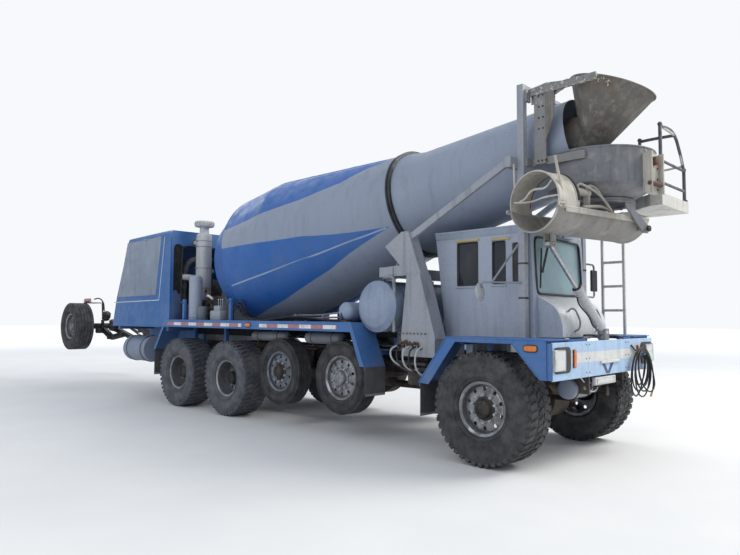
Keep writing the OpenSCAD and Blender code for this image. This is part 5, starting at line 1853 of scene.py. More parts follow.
@dataclass
class Cab:
    """Centre cab: gaskets, wiper, roof band, nose skin, posts' straps, mirrors and door."""

    half: float = 0.6
    front_foot: Point = (5.33, 0, 1.285)
    front_slope: Point = (-0.04814, 0, 0.99884)
    post_x: float = 5.237
    post_y: float = 0.7215
    side_windows: tuple[tuple[float, float, float, float], ...] = ((4.307, 4.596, 1.892, 2.391),
            (4.795, 4.962, 1.9, 2.375))

    def front(self) -> Matrix:
        """Gives the frame of the front wall: X to the right, Y outwards, Z up the wall."""
        return placed(self.front_foot, self.front_slope, (0, -1, 0))

    def gaskets(self) -> None:
        """Makes the rubber round the windows and the yellow strips over the side ones."""
        rubber = Workpiece("window_gaskets", BLACK_TRIM)
        front = self.front()
        loop = [front @ Vector((u, 0.002, v)) for u, v in rounded_loop(-0.52, 0.52, 0.495, 1.116, 0.07)]
        rubber.pipe(loop, 0.013, 3, 3)
        for x0, x1, z0, z1 in self.side_windows + ((5.06, 5.135, 1.905, 2.34),):
            rubber.use(BLACK_TRIM).pipe([(u, -self.half, v) for u,
                    v in rounded_loop(x0, x1, z0, z1, 0.012)], 0.006, 3, 2)
        rubber.box((5.065, -self.half - 0.003, 1.91), (5.13, -self.half, 2.335), 0)
        rubber.pipe([(u, self.half, v) for u, v in rounded_loop(4.2, 4.48, 1.892, 2.391, 0.025)], 0.011, 3,
                2)
        rubber.pipe([(4.0, u, v) for u, v in rounded_loop(-0.42, 0.42, 1.9, 2.33, 0.06)], 0.012, 3, 2)
        rubber.use(YELLOW_TRIM)
        for x0, x1, z in ((4.29, 4.615, 2.405), (4.78, 5.02, 2.388)):
            rubber.box((x0, -self.half - 0.012, z), (x1, -self.half, z + 0.024), 0.004)
        rubber.use(CAB_PAINT)
        for x0, x1, z0, z1 in self.side_windows:
            rubber.box((x0 - 0.02, -self.half - 0.016, z0 - 0.03), (x1 + 0.02, -self.half, z0 - 0.014),
                    0.004)
        rubber.fit("truck", "trim_plastic")

    def shell(self) -> None:
        """Makes the roof band, drip rail, rivets and small housings of the shell."""
        trim = Workpiece("cab_trim", POST_PAINT)
        for s in (-1, 1):
            trim.use(PANEL_GREY).plate([(3.986, s * self.half, 2.45), (3.98, s * self.half, 2.528),
                    (5.27, s * self.half, 2.528), (5.274, s * self.half, 2.45)], (0, s * 0.004, 0), 0.001)
            trim.use(CAB_PAINT).pipe([(3.98, s * self.half, 2.53), (4.6, s * self.half, 2.53),
                    (5.27, s * self.half, 2.53)], 0.012, 3, 3)
            trim.rivets(row((4.02, s * (self.half + 0.004), 2.465), (0.085, 0, 0), 15), (0, s, 0), 0.006)
            trim.rivets(row((4.16, s * self.half, 1.31), (0.09, 0, 0), 13), (0, s, 0), 0.007)
            trim.rivets(row((4.15, s * self.half, 1.4), (-0.0135, 0, 0.1), 10), (0, s, 0), 0.006)
        front = self.front()
        trim.use(CAB_PAINT).pipe([front @ Vector((x, 0.0, 1.246)) for x in (-0.6, 0, 0.6)], 0.012, 3, 3)
        trim.box((-0.31, -0.002, 1.15), (0.02, 0.05, 1.2), 0.012, front)
        trim.use(CHASSIS_IRON).rod(front @ Vector((0.26, 0.0, 1.13)), front @ Vector((0.26, 0.06, 1.13)),
                0.03, 16, soft=0.006)
        trim.rod(front @ Vector((-0.05, 0.0, 1.17)), front @ Vector((-0.05, 0.055, 1.17)), 0.022, 16,
                soft=0.005)
        trim.use(CAB_PAINT).box((4.1, -0.5, 2.529), (5.2, -0.46, 2.54), 0.004)
        trim.box((4.1, 0.46, 2.529), (5.2, 0.5, 2.54), 0.004)
        trim.fit("truck", "grey_paint")

    def wiper(self) -> None:
        """Makes the double-arm wiper and its blade."""
        wiper = Workpiece("wiper", BLACK_TRIM)
        front = self.front()
        pivot, foot = Vector((0.26, 0.045, 1.09)), Vector((0.43, 0.03, 0.74))
        for dx in (-0.012, 0.014):
            wiper.rod(front @ (pivot + Vector((dx, 0, 0.03))), front @ (foot + Vector((dx, 0, 0))), 0.006,
                    8)
        wiper.box((0.405, 0.02, 0.725), (0.455, 0.038, 0.75), 0.004, front)
        wiper.bar(front @ Vector((0.4, 0.018, 1.0)), front @ Vector((0.47, 0.018, 0.56)), 0.012, 0.016,
                0.003)
        wiper.bar(front @ Vector((0.4, 0.008, 1.01)), front @ Vector((0.47, 0.008, 0.55)), 0.004, 0.01,
                0.001)
        wiper.fit("truck", "trim_plastic")

    def nose(self) -> None:
        """Makes the skin over the nose's top, the cab's paint made white there as painted sunlight, and its
        grab loops, bolts and cable.
        """
        skin = Workpiece("nose_skin", NOSE_SUNLIT_PAINT)
        line = [(5.60, 1.313), (5.596, 1.44), (5.586, 1.485), (5.575, 1.52), (5.555, 1.566), (5.53, 1.605),
                (5.498, 1.642), (5.46, 1.67), (5.42, 1.694), (5.38, 1.715), (5.312, 1.75)]
        outer = [(x + 0.004, z + 0.004) for x, z in line]
        outline = [(x, -0.5205, z) for x, z in outer] + [(x - 0.001, -0.5205, z) for x, z in reversed(line)]
        skin.plate(outline, (0, 1.041, 0), 0.001)
        skin.use(CAB_PAINT)
        for s in (-1, 1):
            skin.rivets([(x - 0.03, s * 0.52, z - 0.03) for x, z in line[1::2]], (0, s, 0), 0.007)
        skin.rivets(row((5.604, -0.45, 1.34), (0, 0.1, 0), 10), (1, 0, 0), 0.007)
        for y in (-0.3, 0.22):
            skin.use(RAIL_METAL).pipe([(5.545, y, 1.585), (5.6, y, 1.62), (5.655, y + 0.01, 1.55),
                    (5.668, y + 0.02, 1.42), (5.6, y + 0.03, 1.37)], 0.01, 8, 2)
        skin.use(HOSE_BLACK).pipe([(5.59, -0.05, 1.33), (5.66, -0.06, 1.335), (5.70, 0.05, 1.33),
                (5.73, 0.2, 1.325), (5.77, 0.36, 1.325), (5.83, 0.45, 1.3)], 0.01, 8, 2)
        skin.fit("truck", "grey_paint")

    def posts(self) -> None:
        """Makes the straps, bolts and foot plates of the front posts."""
        post = Workpiece("post_straps", CHASSIS_IRON)
        for z in (1.72, 2.09):
            post.box((5.197, 0.6445, z), (5.277, 0.7215, z + 0.02), 0.001)
            post.rod((5.277, 0.69, z + 0.01), (5.29, 0.69, z + 0.01), 0.009, 6)
        for z in (1.72, 2.09):
            post.use(POST_PAINT).box((5.2, 0.602, z - 0.01), (5.24, 0.644, z + 0.03), 0.002)
        post.use(POST_PAINT)
        for z in (1.19, 1.27):
            post.box((5.16, 0.63, z), (5.31, 0.735, z + 0.012), 0.002)
        post.mirror()
        post.fit("truck", "grey_paint")

    def mirrors(self) -> None:
        """Makes the mirrors on their arms: a tall one on the left, a round one on the right."""
        x, y = self.post_x, self.post_y
        left = Workpiece("mirror_left", RAIL_METAL)
        left.pipe([(x, y, 2.18), (x, 0.9, 2.185), (x, 1.0, 2.17), (x, 1.01, 2.1), (x, 1.01, 1.86),
                (x, 1.0, 1.79), (x, 0.9, 1.78), (x, y, 1.78)], 0.012, 6, 3)
        left.use(BLACK_TRIM).box((5.222, 0.932, 1.85), (5.25, 1.088, 2.12), 0.014, segments=3)
        left.use(PLATED).box((5.219, 0.942, 1.86), (5.223, 1.078, 2.11), 0.001)
        left.fit("truck", "bright_steel", ["mirrors"])
        right = Workpiece("mirror_right", RAIL_METAL)
        right.rod((5.2, -y, 2.305), (5.016, -0.95, 1.897), 0.011, 10)
        right.rod((x, -y, 1.893), (4.9, -0.95, 1.901), 0.011, 10)
        right.rod((4.9, -0.95, 1.905), (4.87, -0.95, 1.83), 0.009, 10)
        place = placed((4.862, -0.95, 1.795), (1, 0.1, 0.08), (0, 1, 0))
        right.use(PIPE_WHITE).lathe([(0, 0.022), (0.05, 0.02), (0.09, 0.01), (0.1, 0), (0.094, -0.006),
                (0, -0.007)], place, 32)
        right.use(PLATED).lathe([(0, -0.009), (0.09, -0.007), (0.09, -0.005), (0, -0.005)], place, 32)
        right.fit("truck", "bright_steel")

    def door(self) -> None:
        """Makes the left door's grip, latch, grab handle and a row of rivets."""
        door = Workpiece("door_trim", BLACK_TRIM)
        y = 0.612
        door.box((5.02, y, 1.83), (5.1, y + 0.012, 1.87), 0.005)
        door.pipe([(5.03, y + 0.008, 1.85), (5.04, y + 0.04, 1.85), (5.08, y + 0.04, 1.85),
                (5.09, y + 0.008, 1.85)], 0.008, 6, 2)
        door.use(RAIL_METAL).pipe([(4.62, y, 1.5), (4.62, y + 0.04, 1.52), (4.62, y + 0.04, 1.75),
                (4.62, y, 1.77)], 0.01, 6, 2)
        door.use(CAB_PAINT).rivets(row((4.58, y, 1.37), (0.06, 0, 0), 9), (0, 1, 0), 0.006)
        door.fit("door_left", "trim_plastic")

    def build(self) -> None:
        """Makes all that dresses the cab."""
        for step in (self.gaskets, self.shell, self.wiper, self.nose, self.posts, self.mirrors, self.door):
            step()


@dataclass
class FrontEnd:
    """Charge hopper, collector bowl, platform, swivel, chutes and their cylinders."""

    swivel_x: float = 5.8
    forward: Point = (-0.1788, -0.98389, 0)
    radius: float = 0.305
    rim: float = 2.6
    reach: float = 1.118
    tail: float = 0.43
    fold: float = 0.33
    bowl_r: float = 0.554
    bolt_circle: float = 0.315
    yoke_y: float = 0.36
    gusset: Sequence[tuple[float, float]] = ((5.482, 3.4), (5.482, 4.0), (5.56, 3.99), (5.6, 3.86),
            (5.575, 3.66), (5.53, 3.5))

    def at(self, along: float, side: float, height: float) -> Vector:
        """Gives the point at a distance along the chute, to its left and over the ground."""
        f = Vector(self.forward)
        return Vector((self.swivel_x, 0, height)) + f * along + Vector((-f.y, f.x, 0)) * side

    def arc(self, along: float, start: float, end: float, radius: float, steps: int = 14) -> list[Vector]:
        """Gives points on the chute's round section.

        Args:
            along: Where along the chute.
            start: First angle in degrees, from its left rim over the top.
            end: Last angle.
            radius: Radius of the section.
            steps: Number of steps between them.

        Returns:
            The points.
        """
        middle = self.rim + 0.072
        angles = [math.radians(start + (end - start) * i / steps) for i in range(steps + 1)]
        return [self.at(along, radius * math.cos(a), middle + radius * math.sin(a)) for a in angles]

    def mouth(self, angle: float, share: float = 1.0) -> Vector:
        """Gives a point of the hopper's oblique mouth by angle from the front and share of its size."""
        along = 0.402 * share * math.cos(angle)
        return Vector((5.96 + along * 0.9613, 0.6 * share * math.sin(angle), 4.0055 - along * 0.2756))

    def hopper(self) -> None:
        """Makes the hopper's rolled rim, gussets, splashed concrete and bolts."""
        rim = Workpiece("hopper_trim", HOPPER_STEEL)
        rim.pipe([self.mouth(math.tau * i / 28) for i in range(29)], 0.010, 3, 2)
        rim.use(SPLASH)
        scatter = random.Random(5)
        for k in range(150):
            u, v, w = scatter.random(), scatter.random(), scatter.random()
            if k < 70:
                x = 5.32 + 0.4 * u
                low, high = 3.858 + 0.4 * max(0.0, x - 5.5), 4.03 - 0.05 * abs(x - 5.48)
                rim.ball((x, -0.5885, low + (high - low) * v), 0.006 + 0.012 * w * w, (1.2, 0.35, 0.9))
            else:
                rim.ball(self.mouth(math.radians(200 + 100 * u), 1.0 - 0.1 * v * v)
                        + Vector((0, 0, -0.09 * v * v)), 0.006 + 0.01 * w * w)
        rim.use(CHASSIS_IRON)
        for s in (-1, 1):
            rim.rivets([(5.4 + 0.05 * i, s * 0.611, 3.55 + 0.12 * k) for i in (0, 1) for k in range(4)],
                    (0, s, 0), 0.011)
            rim.rivets(row((5.39, s * 0.611, 3.2), (0.045, 0, 0), 3), (0, s, 0), 0.012)
            rim.use(HOPPER_STEEL).plate([(x, s * 0.612, z) for x, z in self.gusset], (0, s * 0.01, 0),
                    0.002)
            rim.use(CHASSIS_IRON)
        rim.fit("truck", "worn_steel")

    def bowl(self) -> None:
        """Makes the bowl's rolled rim, lower band, front bracket with its pin, and splashes."""
        bowl = Workpiece("bowl_trim", BOWL_STEEL)
        arc = [math.radians(-128 + 256 * i / 26) for i in range(27)]
        for r, z, thick in ((self.bowl_r, 3.268, 0.011), (self.bowl_r + 0.0045, 2.912, 0.006)):
            bowl.pipe([(self.swivel_x + r * math.cos(a), r * math.sin(a), z) for a in arc], thick, 3, 2)
        away = Vector((math.cos(math.radians(-9)), math.sin(math.radians(-9)), 0))
        side = placed(Vector((self.swivel_x, 0, 3.0)) + away * (self.bowl_r + 0.003), away,
                (-away.y, away.x, 0))
        bowl.use(CREAM_STEEL).box((-0.1, -0.21, -0.012), (0.1, 0.2, 0.05), 0.006, side)
        for x in (-0.12, 0.1):
            bowl.box((x, -0.215, 0.045), (x + 0.02, 0.205, 0.1), 0.004, side)
        bowl.use(RUST_PIPE).rod(side @ Vector((-0.13, -0.12, 0.075)), side @ Vector((0.13, -0.12, 0.075)),
                0.022, 12, soft=0.004)
        bowl.rod(side @ Vector((0, 0.12, 0.04)), side @ Vector((0, 0.12, 0.1)), 0.045, 20, soft=0.008)
        bowl.rivets([side @ Vector((x, y, 0.05)) for x in (-0.07, 0.07)
                for y in (-0.17, -0.06, 0.05, 0.16)], away, 0.013)
        bowl.use(SPLASH)
        scatter = random.Random(9)
        for _ in range(70):
            a = math.radians(-20 + 75 * scatter.random())
            z = 3.25 - 0.22 * scatter.random() ** 2
            r = self.bowl_r + 0.002
            bowl.ball((self.swivel_x + r * math.cos(a), r * math.sin(a), z), 0.006 + 0.012
                    * scatter.random() ** 2, (0.6, 0.6, 1.2))
        bowl.fit("truck", "worn_steel")

    def swivel(self) -> None:
        """Makes the turntable's bolts and ring, and the pins of the yoke."""
        ring = Workpiece("swivel_trim", BOWL_STEEL)
        for i in range(20):
            a = math.tau * i / 20
            x, y = self.swivel_x + self.bolt_circle * math.cos(a), self.bolt_circle * math.sin(a)
            ring.rod((x, y, 2.722), (x, y, 2.736), 0.012, 6)
        ring.torus(upright((self.swivel_x, 0, 2.742)), 0.345, 0.009, 64, 8)
        ring.use(CHASSIS_IRON)
        for s in (-1, 1):
            ring.rod(self.at(-0.3, s * self.yoke_y, 2.48), self.at(-0.3, s * 0.385, 2.48), 0.034, 20,
                    soft=0.006)
        ring.fit("swivel", "cream")

    def platform(self) -> None:
        """Makes the platform's thicker rails, their end knobs and its grating."""
        deck = Workpiece("platform_trim", RAIL_GREY)
        for x, y, top in ((5.9, 0.86, 3.625), (5.9, 1.15, 3.29), (6.29, 0.42, 3.645), (6.29, 1.15, 3.255)):
            deck.rod((x, y, 2.876), (x, y, top), 0.019, 14, soft=0.004)
            deck.rod((x, y, 2.876), (x, y, 2.9), 0.034, 6)
            deck.ball((x, y, top), 0.026)
        deck.pipe([(6.29, 0.42, 3.63), (6.29, 0.85, 3.615), (6.29, 1.03, 3.44), (6.29, 1.15, 3.245)],
                0.018, 10, 3)
        deck.pipe([(5.9, 0.86, 3.609), (6.1, 0.86, 3.612), (6.29, 0.86, 3.609)], 0.018, 4, 3)
        for z in (3.002, 3.245):
            deck.rod((6.29, 0.42, z), (6.29, 1.15, z), 0.016, 12)
        deck.use(CREAM_PAINT)
        for i in range(19):
            deck.bar((5.9 + 0.022 * i, 0.63 if i < 14 else 0.4, 2.879), (5.9 + 0.022 * i, 1.18, 2.879),
                    0.004, 0.006, 0)
        for i in range(7):
            deck.bar((5.89, 0.66 + 0.085 * i, 2.8775), (6.31, 0.66 + 0.085 * i, 2.8775), 0.004, 0.004, 0)
        deck.fit("truck", "cream")

    def main_chute(self) -> None:
        """Makes the main chute's lips, end hoops and latch loop."""
        chute = Workpiece("main_chute_trim", CREAM_STEEL)
        half = 0.2965
        for s in (-1, 1):
            chute.pipe([self.at(x, s * half, self.rim - 0.004) for x in (-self.tail + 0.01, 0.2, 0.6,
                    1.02)], 0.012, 3, 3)
            chute.bar(self.at(-0.4, s * (half + 0.004), self.rim - 0.03),
                    self.at(1.0, s * (half + 0.004), self.rim - 0.03), 0.006, 0.05, 0.002)
        for x in (-self.tail + 0.008, self.reach - 0.01):
            chute.pipe(self.arc(x, 194, 346, 0.3045, 18), 0.009, 3, 2)
        chute.pipe([self.at(1.0, -0.31, 2.585), self.at(1.03, -0.335, 2.6), self.at(1.08, -0.335, 2.6),
                self.at(1.1, -0.31, 2.585)], 0.008, 6, 2)
        chute.fit("chute", "worn_steel")

    def fold_chute(self) -> None:
        """Makes the folding chute's rings, bars and rods, and its cylinder on the main chute."""
        fold = Workpiece("fold_chute_trim", CREAM_STEEL)
        near, far = self.reach - 0.012, self.reach - self.fold + 0.006
        fold.pipe(self.arc(near - 0.004, 0, 180, 0.3045, 20), 0.008, 3, 2)
        fold.use(CHASSIS_IRON).pipe(self.arc(far + 0.012, 0, 180, 0.309, 20), 0.014, 3, 3)
        fold.use(CREAM_STEEL)
        fold.pipe(self.arc(far + 0.045, 0, 180, 0.306, 20), 0.007, 3, 2)
        near -= 0.03
        fold.pipe([self.at(near, 0.2, 2.86), self.at(near, 0.13, 2.8), self.at(near, -0.05, 2.79),
                self.at(near, -0.14, 2.72), self.at(near, -0.2, 2.7)], 0.011, 8, 3)
        fold.pipe([self.at(near, 0.292, 2.7), self.at(near, 0.1, 2.7), self.at(near, -0.05, 2.68),
                self.at(near, -0.285, 2.7)], 0.01, 8, 3)
        fold.rod(self.at(1.03, 0.285, 2.74), self.at(1.08, 0.24, 3.09), 0.014, 10)
        fold.rod(self.at(1.08, -0.27, 2.8), self.at(1.09, -0.27, 3.1), 0.009, 10)
        fold.fit("fold", "cream")
        ram = Workpiece("fold_cylinder", CREAM_STEEL)
        place = placed(self.at(0.5, 0.2, 2.79), self.forward, (0, 0, 1))
        ram.lathe([(0, 0), (0.034, 0.0), (0.04, 0.008), (0.04, 0.22), (0.036, 0.23), (0, 0.23)], place, 24)
        ram.use(PLATED).rod(self.at(0.73, 0.2, 2.79), self.at(0.775, 0.2, 2.79), 0.016, 12)
        ram.use(CREAM_STEEL)
        for k in (0.03, 0.19):
            ram.pipe([self.at(0.5 + k, 0.2, 2.825), self.at(0.48 + k, 0.21, 2.865),
                    self.at(0.42 + k, 0.24, 2.85), self.at(0.36, 0.265, 2.75), self.at(0.24, 0.285, 2.63)],
                    0.013, 8, 3)
        for x in (0.53, 0.7):
            ram.box(self.at(x, 0.2, 2.595) - Vector((0.03, 0.02, 0)), self.at(x, 0.2, 2.76)
                    + Vector((0.03, 0.02, 0)), 0.006)
        ram.pipe([self.at(0.2, 0.28, 2.61), self.at(0.34, 0.25, 2.66), self.at(0.48, 0.27, 2.65),
                self.at(0.7, 0.285, 2.62)], 0.016, 8, 3)
        ram.fit("chute", "cream")

    def lift(self) -> None:
        """Makes the lift cylinder's bands, gland, ports and hose."""
        foot, eye = self.at(0, 0, 1.37), self.at(0.87, 0, 2.27)
        along = (eye - foot).normalized()
        barrel = Workpiece("lift_barrel_trim", PIPE_WHITE)
        place = placed(foot, along, (1, 0, 0))
        for h in (0.075, 0.62):
            barrel.lathe([(0.051, h), (0.0545, h + 0.003), (0.0545, h + 0.022), (0.051, h + 0.025)], place,
                    32, True)
        barrel.use(CHASSIS_IRON).lathe([(0.03, 0.634), (0.048, 0.635), (0.046, 0.648), (0.03, 0.652)],
                place, 32, True)
        barrel.use(PLATED)
        side = place.to_3x3() @ Vector((0, -1, 0))
        for h in (0.12, 0.58):
            spot = foot + along * h
            barrel.rod(spot + side * 0.045, spot + side * 0.075, 0.014, 10)
        barrel.use(HOSE_BLACK)
        a, b = foot + along * 0.58 + side * 0.072, foot + along * 0.12 + side * 0.072
        barrel.pipe([a, a + side * 0.03 - along * 0.05, foot + along * 0.3 + side * 0.075, b + along * 0.05
                + side * 0.02, b], 0.009, 8, 2)
        barrel.fit("barrel", "grey_paint")

    def build(self) -> None:
        """Makes the front end's parts."""
        for step in (self.hopper, self.bowl, self.platform, self.swivel, self.main_chute, self.fold_chute,
                self.lift):
            step()


@dataclass
class Chassis:
    """Small parts of the frame: brake chambers, lines, valves, tank fittings and booster links."""

    front_tank: tuple[float, float] = (5.62, 0.78)
    water_tank: tuple[float, float] = (3.395, 1.65)
    link_y: float = 0.16

    def frame_bolts(self) -> None:
        """Makes the bolt rows, brake chambers and lines along the frame."""
        iron = Workpiece("frame_trim", CHASSIS_IRON)
        iron.rivets([(-3.7 + 0.24 * i, 0.43, z) for i in range(38) for z in (0.85, 1.03)], (0, 1, 0), 0.013)
        for x in (-0.95, 0.55, 1.75, 2.75, 5.15):
            iron.lathe([(0, 0), (0.05, 0), (0.082, 0.02), (0.086, 0.06), (0.092, 0.065), (0.086, 0.07),
                    (0.07, 0.13), (0, 0.14)], placed((x - 0.3, 0.36 if x < 5 else 0.5, 0.72), (1, 0, 0.1),
                    (0, 1, 0)), 20)
        iron.mirror()
        iron.use(HOSE_BLACK)
        for y, z in ((-0.47, 1.0), (-0.49, 0.95), (0.47, 0.98)):
            iron.pipe([(-3.5, y, z), (-2.0, y, z - 0.02), (0, y, z), (2.0, y, z - 0.02), (4.2, y, z),
                    (5.1, y + 0.02, z - 0.04)], 0.013, 4, 2)
        iron.fit("truck", "chassis")

    def front_lines(self) -> None:
        """Makes the round tank, wires and hoses that hang under the bumper."""
        lines = Workpiece("front_lines", TANK_PAINT)
        x, z = self.front_tank
        lines.lathe([(0, 0), (0.07, 0.004), (0.1, 0.02), (0.105, 0.05), (0.105, 0.4), (0.1, 0.43),
                (0.07, 0.446), (0, 0.45)], crosswise((x, -0.52, z)), 32)
        lines.use(CHASSIS_IRON)
        for y in (-0.44, -0.16):
            lines.torus(crosswise((x, y, z)), 0.107, 0.007, 32, 6)
            lines.box((x - 0.02, y - 0.015, z + 0.1), (x + 0.02, y + 0.015, z + 0.21), 0.003)
        for k, (y0, y1, sag) in enumerate(((-0.5, -0.15, 0.1), (-0.46, 0.1, 0.15), (-0.42, 0.0, 0.19),
                (-0.3, 0.3, 0.13))):
            lines.use(STRIPE_PAINT if k in (0, 2) else HOSE_BLACK)
            lines.pipe([(5.76, y0, 0.94), (5.78, y0 + 0.06, 0.94 - sag * 0.7),
                    (5.78, (y0 + y1) / 2, 0.94 - sag), (5.77, y1 - 0.06, 0.94 - sag * 0.6),
                    (5.75, y1, 0.94)], 0.007, 10, 2)
        lines.fit("truck", "chassis")

    def booster(self) -> None:
        """Makes the trailing axle's upper link, rods, bushings and lamp brackets."""
        link = Workpiece("booster_trim", CHASSIS_IRON)
        for s in (-1, 1):
            link.rod((-5.5, s * self.link_y, 1.36), (-4.75, s * self.link_y, 1.13), 0.034, 16, soft=0.006)
            link.use(PLATED).rod((-4.75, s * self.link_y, 1.13), (-4.3, s * self.link_y, 0.99), 0.02, 12)
            link.use(CHASSIS_IRON)
            link.box((-5.56, s * self.link_y - 0.04, 1.3), (-5.44, s * self.link_y + 0.04, 1.42), 0.01)
            link.box((-5.86, s * 0.5 - 0.03, 1.2), (-5.8, s * 0.5 + 0.03, 1.42), 0.008)
            link.use(HOSE_BLACK).pipe([(-4.3, s * 0.12, 1.03), (-4.6, s * 0.1, 1.16),
                    (-5.1, s * 0.1, 1.33), (-5.5, s * 0.12, 1.43)], 0.01, 8, 2)
            link.use(CHASSIS_IRON).box((-6.0, s * 0.74 - 0.14, 1.79), (-5.6, s * 0.74 + 0.1, 1.81), 0.006)
            link.plate([(x, s * 0.6, z) for x, z in ((-5.62, 1.5), (-5.56, 1.5), (-5.58, 1.82),
                    (-5.66, 1.82))], (0, s * 0.012, 0), 0.002)
            link.use(LAMP_RED).box((-5.98, s * 0.86 - 0.05, 1.835), (-5.7, s * 0.86 + 0.05, 1.845), 0.003)
            link.use(TAPE_PLATE).box((-5.995, s * 0.86 - 0.01, 1.81), (-5.62, s * 0.86, 1.9), 0.003)
            link.use(CHASSIS_IRON).pipe([(-5.62, s * 0.8, 1.88), (-5.55, s * 0.72, 1.9),
                    (-5.5, s * 0.66, 1.84), (-5.52, s * 0.6, 1.62)], 0.014, 8, 3)
            chamber = placed((-5.6, s * 0.52, 1.5), (0.5, 0, 0.86), (0, 1, 0))
            link.lathe([(0, -0.1), (0.05, -0.1), (0.085, -0.07), (0.088, -0.01), (0.098, 0), (0.088, 0.01),
                    (0.085, 0.08), (0.05, 0.11), (0, 0.11)], chamber, 24)
            link.use(HOSE_BLACK).lathe([(0, -0.12), (0.08, -0.12), (0.11, -0.08), (0.1, -0.04),
                    (0.115, 0.0), (0.1, 0.04), (0.11, 0.08), (0.08, 0.12), (0, 0.12)],
                    placed((-5.42, s * 0.42, 1.3), (0.25, 0, 0.97), (0, 1, 0)), 28)
            link.use(CHASSIS_IRON).bar((-5.82, s * 0.48, 1.2), (-5.5, s * 0.42, 1.02), 0.1, 0.12, 0.02)
            link.bar((-5.5, s * 0.42, 1.02), (-5.05, s * 0.36, 1.1), 0.09, 0.12, 0.02)
            link.rod((-5.88, s * 0.62, 1.18), (-5.88, s * 0.4, 1.18), 0.07, 20, soft=0.01)
            link.box((-5.6, s * 0.34, 0.98), (-5.48, s * 0.5, 1.06), 0.012)
        link.fit("booster", "chassis")

    def valves(self) -> None:
        """Makes the rusty valve block, bolts and lines at the pedestals' feet."""
        block = Workpiece("valve_block", RUST_PIPE)
        block.box((3.72, -0.98, 1.12), (4.12, -0.72, 1.3), 0.012)
        scatter = random.Random(3)
        for i in range(9):
            x = 3.74 + 0.043 * i
            block.use(RUST_PIPE if i % 2 else CHASSIS_IRON).rod((x, -0.985, 1.15 + 0.1 * scatter.random()),
                    (x, -1.03, 1.15 + 0.1 * scatter.random()), 0.016, 10)
            block.use(PLATED).rod((x, -0.93, 1.3), (x, -0.93, 1.33 + 0.04 * scatter.random()), 0.011, 6)
        for k in range(5):
            x = 3.7 + 0.1 * k
            block.use(HOSE_BLACK if k % 2 else PIPE_WHITE)
            block.pipe([(x, -1.0, 1.18), (x - 0.03, -1.07, 1.12), (x + 0.02, -1.04, 0.98 - 0.03 * k),
                    (x + 0.1, -0.8, 0.95), (x + 0.1, -0.55, 1.0)], 0.011, 8, 2)
        block.use(CHASSIS_IRON).box((3.62, -0.95, 0.95), (4.1, -0.6, 0.99), 0.006)
        block.bar((3.62, -0.95, 0.97), (4.12, -0.95, 0.8), 0.03, 0.04, 0.004)
        block.box((3.8, -0.92, 0.72), (4.08, -0.6, 0.94), 0.02)
        block.use(RUST_PIPE).rivets(row((3.78, -1.03, 1.33), (0.055, 0, 0), 8), (0, -1, 0), 0.012)
        block.fit("truck", "chassis")

    def tank_fittings(self) -> None:
        """Makes the straps, caps, valves and pipe round the tanks."""
        fit = Workpiece("tank_fittings", CHASSIS_IRON)
        tank_x, tank_z = self.water_tank
        for x in (-3.12, -2.56):
            for s in (-1, 1):
                fit.torus(lengthwise((x, s * 0.93, 0.9)), 0.242, 0.009, 48, 6)
        for y in (-0.85, 0.85):
            fit.torus(crosswise((tank_x, y, tank_z)), 0.315, 0.005, 64, 6)
        fit.use(BRASS).rod((2.68, -0.92, 1.59), (2.68, -0.965, 1.59), 0.035, 14, soft=0.006)
        fit.use(CHASSIS_IRON).pipe([(2.68, -0.965, 1.59), (2.7, -1.0, 1.57), (2.75, -1.01, 1.5),
                (2.78, -1.0, 1.452)], 0.014, 8, 2)
        fit.use(TANK_PAINT)
        for s in (-1, 1):
            fit.torus(crosswise((tank_x, s * 1.02, tank_z)), 0.314, 0.005, 64, 6)
        dome = [(0, 0.068), (0.04, 0.064), (0.075, 0.05), (0.102, 0.028), (0.1175, 0), (0.119, -0.02),
                (0.1175, -0.04)]
        fit.lathe(dome, placed((2.9, -1.08, 1.59), (0, -1, 0), (1, 0, 0)), 40)
        fit.use(CHASSIS_IRON).box((2.875, -1.15, 1.49), (2.9, -1.1, 1.57), 0.004)
        fit.box((2.84, -1.12, 1.452), (2.94, -0.8, 1.475), 0.004)
        fit.use(TANK_PAINT).rod((tank_x, 0, 1.96), (tank_x, 0, 2.0), 0.06, 20, soft=0.008)
        fit.use(RAIL_METAL).pipe([(3.4, -0.9, 1.97), (3.5, -0.98, 2.0), (3.64, -1.0, 1.99),
                (3.66, -1.0, 1.9), (3.66, -1.0, 1.34)], 0.022, 6, 3)
        fit.fit("truck", "grey_paint")

    def build(self) -> None:
        """Makes the chassis's small parts."""
        for step in (self.frame_bolts, self.front_lines, self.booster, self.valves, self.tank_fittings):
            step()


